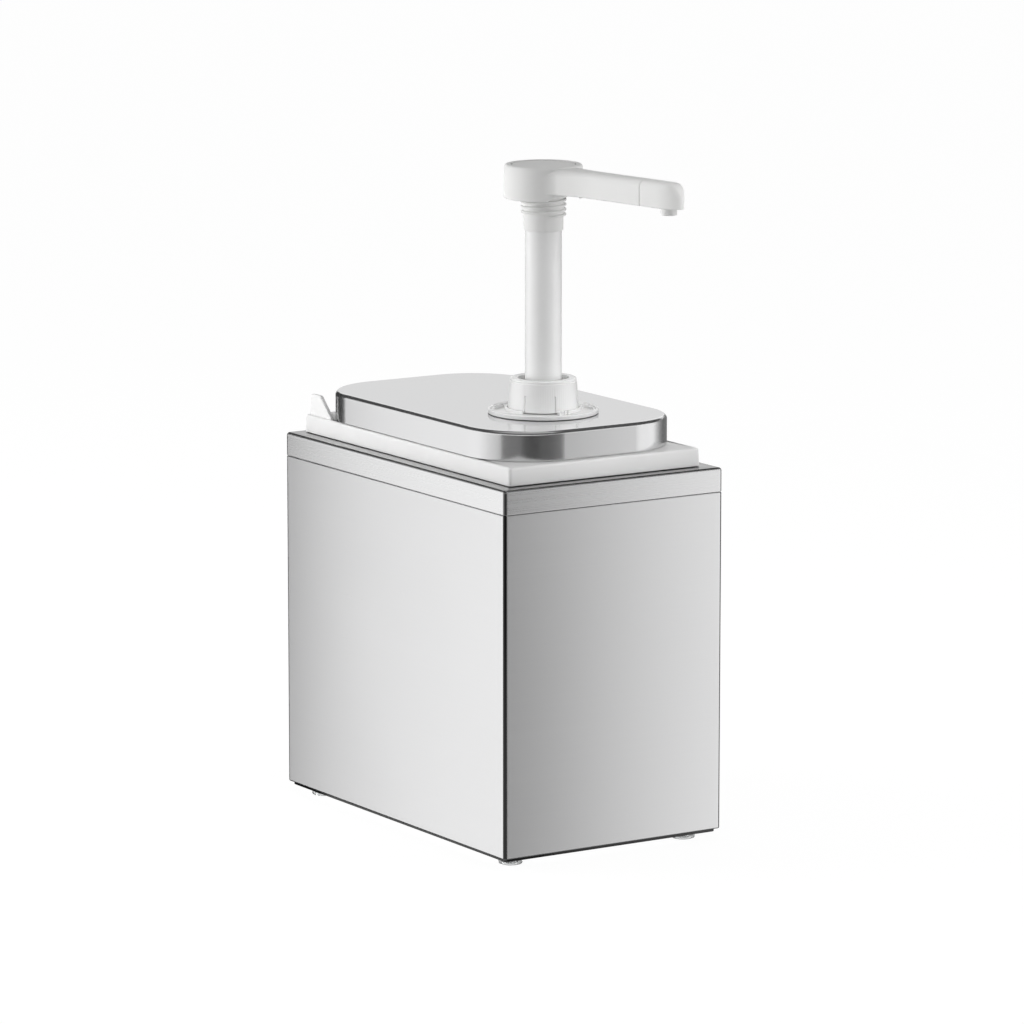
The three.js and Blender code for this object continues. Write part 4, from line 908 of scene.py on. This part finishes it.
class DISPENSER_OT_stem(bpy.types.Operator):
    """Make the stem, the piston with its ring and cage, and the return spring"""
    bl_idname = "dispenser.stem"
    bl_label = "Stem and spring"

    def execute(self, context):
        size = in_millimetres(context.scene.dispenser_pump)
        turns = context.scene.dispenser_pump.spring_turns
        plastic, seal = bpy.data.materials["pump_plastic"], bpy.data.materials["seal_rubber"]
        wire = brushed_steel("spring_wire", (0.6, 0.6, 0.61), 0.22, (500, 500, 500), 0.04, 0.0)
        stem, piston = box_of("stem_tube"), box_of("piston")
        tube = turned_ring(size.stem_bore, size.stem_radius, stem.z0, stem.z1, (0.4, 0.4, 0.6, 0.4), 128, 4)
        make_piece("white_stem", [tube], bpy.data.materials["collar_plastic"], "stem", "stem_tube")
        low, high = piston.z0, piston.z0 + 14
        body = turned_piece([
            (3.6, low, 0.3), (13.7, low, 0.5), (13.7, low + 5.4, 0.2), (11.8, low + 5.4), (11.8, low + 8.6),
            (13.7, low + 8.6, 0.2), (13.7, high, 0.5), (8.2, high, 0.3), (8.2, piston.z1, 0.3), (6.8, piston.z1, 0.3),
            (6.8, low + 7.8, 0.4), (3.6, low + 6, 0.3),
        ], 80, 4)
        make_piece("white_piston", [body], plastic, "stem", "piston")
        ring = box_of("piston_ring")
        lip = turned_piece([(12.1, ring.z0, 0.4), (13.3, ring.z0, 0.4), (13.85, (ring.z0 + ring.z1) / 2, 0.4),
                            (13.3, ring.z1, 0.4), (12.1, ring.z1, 0.4)], 80)
        make_piece("piston_seal", [lip], seal, "stem", "piston_ring")
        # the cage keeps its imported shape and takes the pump's plastic
        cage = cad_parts["ball_cage"].data.materials
        cage.clear()
        cage.append(plastic)
        coil = box_of("return_spring")
        thickness, radius = 0.8, (coil.x1 - coil.x0) / 2 - 0.8
        piece = make_piece("coil_spring", [self.helix(radius, thickness, coil.z0, coil.z1, turns)], wire, "lid",
                           "return_spring", 60)
        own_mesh(piece)
        return {"FINISHED"}

    def helix(self, radius, thickness, low, high, turns, steps=32, sides=10):
        """A wire wound on a cylinder: the centre line is (R cos t, R sin t, rise t), and a circle of the wire's
        radius stands across it. The end turns lie closer, as ground ends do."""
        t = np.linspace(0, turns * 2 * math.pi, turns * steps + 1)
        share = t / t[-1]
        flat = 1.6 / turns
        ease = np.interp(share, [0, flat, 1 - flat, 1], [0, 0.045, 0.955, 1])
        base = low + thickness + (high - low - 2 * thickness) * ease
        across = all_round(sides)
        points = about(radius + thickness * np.cos(across), t[:, None], base[:, None] + thickness * np.sin(across))
        return grid_shell(np.concatenate([at_middle(points[0]), points, at_middle(points[-1])]))


class DISPENSER_OT_lock_sleeve(bpy.types.Operator):
    """Make the sleeve with the lock thread under the head"""
    bl_idname = "dispenser.lock_sleeve"
    bl_label = "Lock sleeve"

    def execute(self, context):
        size = in_millimetres(context.scene.dispenser_pump)
        plastic, seal = bpy.data.materials["pump_plastic"], bpy.data.materials["seal_rubber"]
        sleeve = box_of("lock_sleeve")
        low, high, inner = sleeve.z0 - TOP_DROP, sleeve.z1, size.stem_radius + GAP
        start = low + 9.2
        angle = all_round(180)
        outer = np.linspace(low + 0.6, high, 150)
        height = np.concatenate([[low + 0.5, low + 0.1, low, low + 0.2], outer, [high, low + 0.5]])[:, None]
        plain = np.interp(outer, [low, high], [12.5, 12.85])
        radius = np.concatenate([[inner, inner + 0.15, 12.2, 12.45], plain, [inner, inner]])[:, None] + 0 * angle
        # The thread's middle is at start + pitch * turns. It stands out by sqrt(1 - t^4), t being the height above
        # that middle / 0.85, and grows in over the first 1/22 of a turn.
        turned_from = (angle - math.radians(-118)) % (2 * math.pi)
        ridge = np.zeros((len(outer), len(angle)))
        for turn in range(5):
            along = turn + turned_from / (2 * math.pi)
            across = (outer[:, None] - (start + size.thread_pitch * along)) / 0.85
            ridge = np.maximum(ridge, np.clip(along * 22, 0, 1) * np.clip(1 - across ** 4, 0, 1) ** 0.5)
        radius[4:4 + len(outer)] += ridge * size.thread_height
        make_piece("threaded_sleeve", [grid_shell(about(radius, angle + HEAD_TURN, height), True)], plastic,
                   "head", "lock_sleeve", 60)
        ring = box_of("stem_o_ring")
        make_piece("stem_seal", [turned_ring(8.5, 11.6, ring.z0, ring.z1, 0.7, 64)], seal, "head",
                   "stem_o_ring")
        return {"FINISHED"}


def turned_with_head(x, y, z):
    """Points given across the arm, along it and up, turned by the head's angle about the pump's axis.
    The arm runs along -y before the turn."""
    cosine, sine = math.cos(HEAD_TURN), math.sin(HEAD_TURN)
    return np.stack([PUMP_AXIS[0] + x * cosine - y * sine, PUMP_AXIS[1] + x * sine + y * cosine, z], -1)


def arm_heights():
    """The heights of the arm's underside and top."""
    high = box_of("pump_head").z1 - TOP_DROP
    return high - GAP - ARM_HEIGHT, high - 0.9


def arm_section(size, low, high):
    """The arm's cross-section: flat below with small rounded edges, and well rounded above."""
    half, edge = size.arm_width / 2, size.arm_edge
    return filleted([(-half, low, 0.9), (half, low, 0.9), (half, high, edge), (-half, high, edge)], True, 9)


def drawn_in(section, middle, half, inward):
    """An arm section made smaller by a distance all round: across it is multiplied by 1 - distance / half its
    width, and up from its middle by 1 - distance / half its height. The two come apart."""
    inward = np.asarray(inward)[:, None]
    return (section[:, 0] * (1 - inward / half),
            middle + (section[:, 1] - middle) * (1 - inward * 2 / ARM_HEIGHT))


def about_channel(profile, height):
    """A closed profile of radius and distance from the pump, turned about the arm's flow channel."""
    angle, radius = all_round(64), profile[:, :1]
    return grid_shell(turned_with_head(radius * np.cos(angle), -profile[:, 1:] + 0 * angle,
                                       height + radius * np.sin(angle)), True)


class DISPENSER_OT_head(bpy.types.Operator):
    """Make the round head with its arm, and the cap in its top"""
    bl_idname = "dispenser.head"
    bl_label = "Head and arm"

    def execute(self, context):
        size = in_millimetres(context.scene.dispenser_head)
        plastic = bpy.data.materials["pump_plastic"]
        head, cap = box_of("pump_head"), box_of("head_cap")
        low, high = head.z0, head.z1 - TOP_DROP
        arm_low, arm_high = arm_heights()
        shells = [self.drum(size, low, high, arm_low), self.arm(size, low, high, arm_low, arm_high)]
        make_piece("white_head", shells, plastic, "head", "pump_head", 40)
        under, over = cap.z0 - TOP_DROP, cap.z1 - TOP_DROP - 0.3
        disc = turned_piece([(0, under), (19.9, under, 0.2), (19.9, over, 0.35), (0, over)], 128, 4, closed=False)
        make_piece("white_cap", [disc], plastic, "head", "head_cap")
        return {"FINISHED"}

    def drum(self, size, low, high, arm_low):
        """The round head turned about the axis. Its lower edge rises by an S-curve, 3t^2 - 2t^3, from 38 to 12
        degrees before the arm's axis on either side, up to the arm's underside."""
        bottom_radius = size.top_radius + size.flare
        inner = bottom_radius - 2
        ceiling = low + 15.5
        seat, sleeve_top, stem_top = high - 1.9, high - 16.7, high - 15
        profile = filleted([
            (0, seat), (20.75, seat), (20.75, high, 0.25), (size.top_radius, high, size.edge_radius),
            (bottom_radius, low, 0.9), (inner, low, 0.8), (inner, ceiling, 1.5), (15.4, ceiling, 1.5),
            (15.4, low + 0.8, 0.5), (13.15, low + 0.8, 0.4), (13.15, sleeve_top, 0.2), (11.9, sleeve_top, 0.2),
            (11.9, stem_top, 0.2), (0, stem_top),
        ], False, 7)
        angle = all_round(192)
        t = np.clip((math.radians(38) - turn_between(angle, -math.pi / 2)) / math.radians(26), 0, 1)
        rise = (arm_low - low + 0.6) * t * t * (3 - 2 * t)
        radius, height = profile[:, 0][:, None] + 0 * angle, profile[:, 1][:, None] + 0 * angle
        skirt = (profile[:, 0] > 15.6)[:, None] & (profile[:, 1] < ceiling - 0.01)[:, None]
        share = np.clip((ceiling - height) / (ceiling - low), 0, 1)
        height = height + skirt * rise * share
        return grid_shell(turned_with_head(radius * np.cos(angle), radius * np.sin(angle), height))

    def arm(self, size, low, high, arm_low, arm_high):
        """The arm: its section carried out from inside the head. In plan its side leaves the head along the
        tangent at 46.5 degrees from the arm's axis, turns along the blend's radius and then narrows evenly.
        Within the head its half width is sqrt(r^2 - s^2) - 0.02 * (touch - s)^2, s being the distance from the
        pump's axis and touch that of the tangent's point, so that it stays under the head's surface."""
        section = arm_section(size, arm_low, arm_high)
        half, end, turn_from = size.arm_width / 2, 98.6, 56.0
        round_head = size.top_radius + size.flare * (high - section[:, 1]) / (high - low)
        root, slope, taper_end = math.radians(46.5), math.tan(math.radians(11)), 46.0
        touch, wide = size.top_radius * math.cos(root), size.top_radius * math.sin(root)
        run = (wide - half - (taper_end - touch) * slope) / (math.cos(root) - math.sin(root) * slope)
        knee = (touch + run * math.sin(root), wide - run * math.cos(root), size.blend_radius)
        side = filleted([(touch, wide), knee, (taper_end, half, 90), (end, half)], False, 14)
        share = np.concatenate([np.linspace(0, 0.12, 4), 0.14 + 0.86 * np.linspace(0, 1, 34) ** 1.6])[:, None]
        inside = touch - 6
        level = 0 * section[:, 0]
        near = inside + share * (turn_from - inside) + level
        within = np.sqrt(np.maximum(round_head ** 2 - near ** 2, 0)) - 0.02 * (touch - near) ** 2
        width = np.where(near < touch, within, np.interp(near, side[:, 0], side[:, 1]))
        straight = np.concatenate([np.linspace(0.03, 0.97, 12), [1.0]])[:, None]
        far = turn_from + straight * (end - END_ROUNDING - turn_from) + level
        middle = (arm_low + arm_high) / 2
        x_end, z_end = drawn_in(section, middle, half, [0.06, 0.3])
        angle = np.arctan2(section[:, 1] - middle, section[:, 0])
        bore, depth = np.array([(5.9, 0), (5.5, 0.4), (5.5, 12)]).T[..., None]
        x = np.concatenate([section[:, 0] * width / half, section[:, 0] + 0 * far, x_end, bore * np.cos(angle)])
        z = np.concatenate([section[:, 1] + 0 * near, section[:, 1] + 0 * far, z_end,
                            middle + bore * np.sin(angle)])
        s = np.concatenate([near, far, np.array([[end - 0.2], [end]]) + level, end - depth + level])
        points = turned_with_head(x, -s, z)
        return grid_shell(np.concatenate([at_middle(points[0]), points, at_middle(points[-1])]))


class DISPENSER_OT_nozzle(bpy.types.Operator):
    """Make the elbow at the arm's end, its outlet pipe and its seal"""
    bl_idname = "dispenser.nozzle"
    bl_label = "Elbow and outlet"

    def execute(self, context):
        size = in_millimetres(context.scene.dispenser_head)
        plastic, seal = bpy.data.materials["pump_plastic"], bpy.data.materials["seal_rubber"]
        arm_low, arm_high = arm_heights()
        middle = (arm_low + arm_high) / 2
        bore, outside = OUTLET_BORE, SPIGOT_RADIUS
        spigot = filleted([(bore, 92), (bore, 90.8, 0.2), (outside, 90.8, 0.5), (outside, 103), (bore, 103)], True, 3)
        make_piece("white_elbow", [self.elbow(size, arm_low, arm_high), about_channel(spigot, middle)], plastic,
                   "nozzle", "nozzle_elbow", 40)
        outlet = box_of("outlet_tube")
        centre = ((outlet.x0 + outlet.x1) / 2, (outlet.y0 + outlet.y1) / 2)
        pipe = turned_ring(bore, 5, outlet.z0, outlet.z1, (0.3, 0.7, 0.3, 0.3), 72, 5, centre)
        make_piece("outlet_pipe", [pipe], plastic, "nozzle", "outlet_tube")
        ring = filleted([(bore, 88.7, 0.6), (outside, 88.7, 0.6), (outside, 90.5, 0.6), (bore, 90.5, 0.6)], True, 4)
        make_piece("spigot_seal", [about_channel(ring, middle)], seal, "nozzle", "nozzle_o_ring")
        return {"FINISHED"}

    def elbow(self, size, low, high):
        """The arm's section carried on to a rounded nose: seen from above its half width ends as
        sqrt(1 - u^2), and from the side its top falls along a quarter circle."""
        section = arm_section(size, low, high)
        half, start, round_from, reach = size.arm_width / 2, 98.9, 113.5, 129.0
        steps = np.sin(np.linspace(0, math.pi / 2, 26))
        s = np.concatenate([[start, start + 0.2, start + END_ROUNDING, start + 3, start + 8, start + 13],
                            round_from + (reach - round_from) * steps])
        u = np.clip((s - round_from) / (reach - round_from), 0, 1)
        nose = size.nose_radius
        v = np.clip((s - (reach - nose)) / nose, 0, 1)
        drop = nose * (1 - np.sqrt(1 - v ** 2))
        middle = (low + high) / 2
        x = section[:, 0] * np.sqrt(1 - u ** 2)[:, None]
        z = low + (section[:, 1] - low) * (1 - drop / (high - low))[:, None]
        x[:2], z[:2] = drawn_in(section, middle, half, [0.3, 0.06])
        points = turned_with_head(x, -s[:, None] + 0 * x, z)
        first = flattened(points[0], turned_with_head(0, -start, middle))
        return grid_shell(np.concatenate([first[None], points]))


# Stage


class DISPENSER_OT_stage(bpy.types.Operator):
    """Make the camera, the floor, the backdrop cards and the lights"""
    bl_idname = "dispenser.stage"
    bl_label = "Studio stage"

    def execute(self, context):
        settings = context.scene.dispenser_stage
        self.camera(context.scene)
        self.world(context.scene, settings.fill_light)
        self.floor(tuple(settings.floor_colour))
        self.cards()
        self.light("side_light_left", (-1.27, 0.97, 0.45), (0, 0.02, 0.25), 1.2, 1.0, settings.left_light)
        self.light("side_light_right", (1.3, -0.94, 0.45), (0, 0.02, 0.25), 1.2, 1.0, settings.right_light)
        self.light("top_light", (0.1, -0.45, 1.7), (0, 0, 0.25), 1.0, 1.0, settings.top_light)
        self.light("deck_light", (-0.02, -1.22, 1.25), (0.012, -0.065, 0.27), 0.15, 0.15,
                   settings.deck_light, 9)
        context.scene.view_settings.view_transform = "Standard"
        return {"FINISHED"}

    def camera(self, scene):
        """The photograph's camera. Its axes are right, up and backward, and up is right x forward."""
        lens = bpy.data.cameras.new("camera")
        lens.lens, lens.sensor_width = CAMERA_LENS, 36
        lens.clip_start, lens.clip_end = 0.1, 30
        scene.camera = bpy.data.objects.new("camera", lens)
        scene.collection.objects.link(scene.camera)
        axes = (CAMERA_RIGHT, CAMERA_RIGHT.cross(CAMERA_FORWARD), -CAMERA_FORWARD)
        scene.camera.matrix_world = Matrix.Translation(CAMERA_PLACE) @ Matrix(axes).transposed().to_4x4()

    def world(self, scene, fill):
        """White where the camera, a mirror or a clear body sees it, and an even grey for the light."""
        scene.world = bpy.data.worlds.new("studio")
        scene.world.use_nodes = True
        tree = scene.world.node_tree
        set_inputs(tree, tree.nodes["Background"],
                   {"Color": (1, 1, 1, 1), "Strength": seen_directly(tree, fill, 1.0)})

    def floor(self, colour):
        """A wide floor. The camera sees it white with the object's faint shadow, and mirrors don't see it."""
        material, tree, shader = new_material("floor")
        grain = noise_at(tree, object_place(tree), (40, 40, 40), 3.0)
        set_inputs(tree, shader, {"Base Color": tinted(tree, grain, scaled(colour, 0.99), colour),
                                  "Roughness": ranged(tree, grain, 0.85, 0.95)})
        glow = new_node(tree, "Emission", {"Color": (1, 1, 1, 1), "Strength": 1.07}).outputs["Emission"]
        mix = new_node(tree, "MixShader", {"Fac": seen_directly(tree, 0.0, 0.88), 1: shader.outputs["BSDF"], 2: glow})
        set_inputs(tree, tree.nodes["Material Output"], {"Surface": mix.outputs["Shader"]})
        corners = np.array([[(-9, -9, 0), (9, -9, 0)], [(-9, 9, 0), (9, 9, 0)]])
        self.stage_object("floor", grid_shell(corners, False, False), material).visible_glossy = False

    def stage_object(self, name, shell, material):
        """A mesh of the stage, in metres, which isn't part of the dispenser."""
        piece = linked_mesh(name, *shell, material)
        return piece

    def cards(self):
        """Grey studio cards that only polished surfaces see. Each stands upright along points of the plan, and its
        shade, given at each point, changes evenly between them. The dark ones that the lid's side needs are pale
        further down, where only the walls see them. A dark ceiling with a pale middle hangs over them."""
        pale_below = ("card_front_left", "card_front_middle", "card_rear_right")
        for name, plan in (
            ("card_front", [(-1.25, 0.62, 1.0), (-1.13, 0.16, 0.85), (-0.935, -0.31, 0.6)]),
            ("card_front_left", [(-0.935, -0.31, 0.2), (-0.66, -0.82, 0.17)]),
            ("card_front_middle", [(-0.66, -0.82, 0.1), (-0.46, -0.9, 0.07), (-0.22, -0.9, 0.08)]),
            ("card_front_right", [(-0.22, -0.9, 0.11), (0.0, -0.8, 0.12), (0.272, -0.625, 0.19)]),
            ("card_right", [(0.272, -0.625, 0.4), (0.34, -0.6, 0.7), (0.45, -0.58, 0.98), (0.8, -0.55, 0.95)]),
            ("card_rear_left", [(-0.326, 0.564, 0.05), (0.3, 1.2, 0.05)]),
            ("card_back", [(0.3, 1.25, 0.78), (1.1, 1.2, 0.78)]),
            ("card_rear_right", [(1.1, 1.1, 0.25), (1.1, 0.2, 0.15), (1.1, -0.05, 0.3), (1.1, -0.35, 0.8)]),
        ):
            plan = np.array(plan)
            stations = np.linspace(0, len(plan) - 1, 8 * (len(plan) - 1) + 1)
            x, y, shade = (np.interp(stations, np.arange(len(plan)), plan[:, i]) for i in range(3))
            height = np.array([-0.9, -0.12, -0.02, 0.62])[:, None] + 0 * x
            points = np.stack([x + 0 * height, y + 0 * height, height], -1)
            lower = np.full(2 * len(x), 0.55) if name in pale_below else np.tile(shade, 2)
            self.card(name, grid_shell(points, False, False), np.concatenate([lower, np.tile(shade, 2)]))
        # the ceiling's edge hangs 0.5 lower at the bearings 100 and 10 degrees, and less up to some 45 from them
        bearing = all_round(64)
        reach = np.array([1.7, 0.8, 0.4, 0.0])[:, None]
        behind = np.clip(1.6 - np.abs(bearing - math.radians(100)) / math.radians(28), 0, 1)
        beside = np.clip(1.5 - turn_between(bearing, math.radians(10)) / math.radians(28), 0, 1)
        height = np.array([1.36, 1.5, 1.5, 1.5])[:, None]
        height = height - np.array([0.5, 0, 0, 0])[:, None] * np.maximum(behind, beside)
        points = np.stack([reach * np.cos(bearing), reach * np.sin(bearing), height], -1)
        self.card("card_ceiling", grid_shell(points), np.repeat([0.08, 0.08, 0.45, 0.45], 64))

    def card(self, name, shell, shade):
        """A card that glows by the shade of its points, seen by glossy rays alone."""
        material, tree, shader = new_material(name)
        strength = new_node(tree, "Attribute", attribute_name="shade").outputs["Fac"]
        set_inputs(tree, shader, {"Base Color": (0, 0, 0, 1), "Specular IOR Level": 0,
                                  "Emission Color": (1, 1, 1, 1), "Emission Strength": strength})
        card = self.stage_object(name, shell, material)
        set_share(card.data, "shade", shade)
        card.visible_camera = card.visible_diffuse = card.visible_shadow = card.visible_transmission = False

    def light(self, name, place, aim, width, height, power, spread=180):
        """A flat lamp aimed at a place, which mirrors and the camera don't see."""
        lamp = bpy.data.lights.new(name, "AREA")
        lamp.shape, lamp.size, lamp.size_y, lamp.energy = "RECTANGLE", width, height, power
        lamp.spread = math.radians(spread)
        light = bpy.data.objects.new(name, lamp)
        bpy.context.scene.collection.objects.link(light)
        light.location = place
        light.rotation_euler = (Vector(aim) - Vector(place)).to_track_quat("-Z", "Y").to_euler()
        light.visible_glossy = light.visible_camera = False


def seen_directly(tree, otherwise, directly):
    """One value for rays of the camera, of mirrors and through clear bodies, and another for the rest."""
    path = new_node(tree, "LightPath").outputs
    seen = path["Is Camera Ray"]
    for kind in ("Is Glossy Ray", "Is Transmission Ray"):
        seen = new_node(tree, "Math", {0: seen, 1: path[kind]}, operation="MAXIMUM").outputs[0]
    return ranged(tree, seen, otherwise, directly, 0, 1)


class DISPENSER_PT_panel(bpy.types.Panel):
    """Lists the pieces of the dispenser with their sizes and colours"""
    bl_label = "Dispenser"
    bl_idname = "DISPENSER_PT_panel"
    bl_space_type = "VIEW_3D"
    bl_region_type = "UI"
    bl_category = "Dispenser"

    def draw(self, context):
        for group, _ in GROUPS:
            settings = getattr(context.scene, group)
            column = self.layout.column(align=True)
            column.label(text=group.replace("_", " ").capitalize())
            for name in type(settings).__annotations__:
                column.prop(settings, name)
        for operator in OPERATORS:
            self.layout.operator(operator.bl_idname)


GROUPS = [
    ("dispenser_housing", HousingSettings), ("dispenser_container", ContainerSettings),
    ("dispenser_lid", LidSettings), ("dispenser_pump", PumpSettings),
    ("dispenser_head", HeadSettings), ("dispenser_stage", StageSettings),
]
OPERATORS = [
    DISPENSER_OT_housing, DISPENSER_OT_feet, DISPENSER_OT_container, DISPENSER_OT_lid, DISPENSER_OT_flange,
    DISPENSER_OT_collar_nut, DISPENSER_OT_barrel, DISPENSER_OT_stem, DISPENSER_OT_lock_sleeve,
    DISPENSER_OT_head, DISPENSER_OT_nozzle, DISPENSER_OT_stage,
]


def register():
    for group, settings in GROUPS:
        bpy.utils.register_class(settings)
        setattr(bpy.types.Scene, group, PointerProperty(type=settings))
    for kind in (*OPERATORS, DISPENSER_PT_panel):
        bpy.utils.register_class(kind)


def unregister():
    for kind in (DISPENSER_PT_panel, *reversed(OPERATORS)):
        bpy.utils.unregister_class(kind)
    for group, settings in reversed(GROUPS):
        delattr(bpy.types.Scene, group)
        bpy.utils.unregister_class(settings)


def main():
    register()
    for operator in OPERATORS:
        group, name = operator.bl_idname.split(".")
        getattr(getattr(bpy.ops, group), name)()


if __name__ == "__main__":
    main()
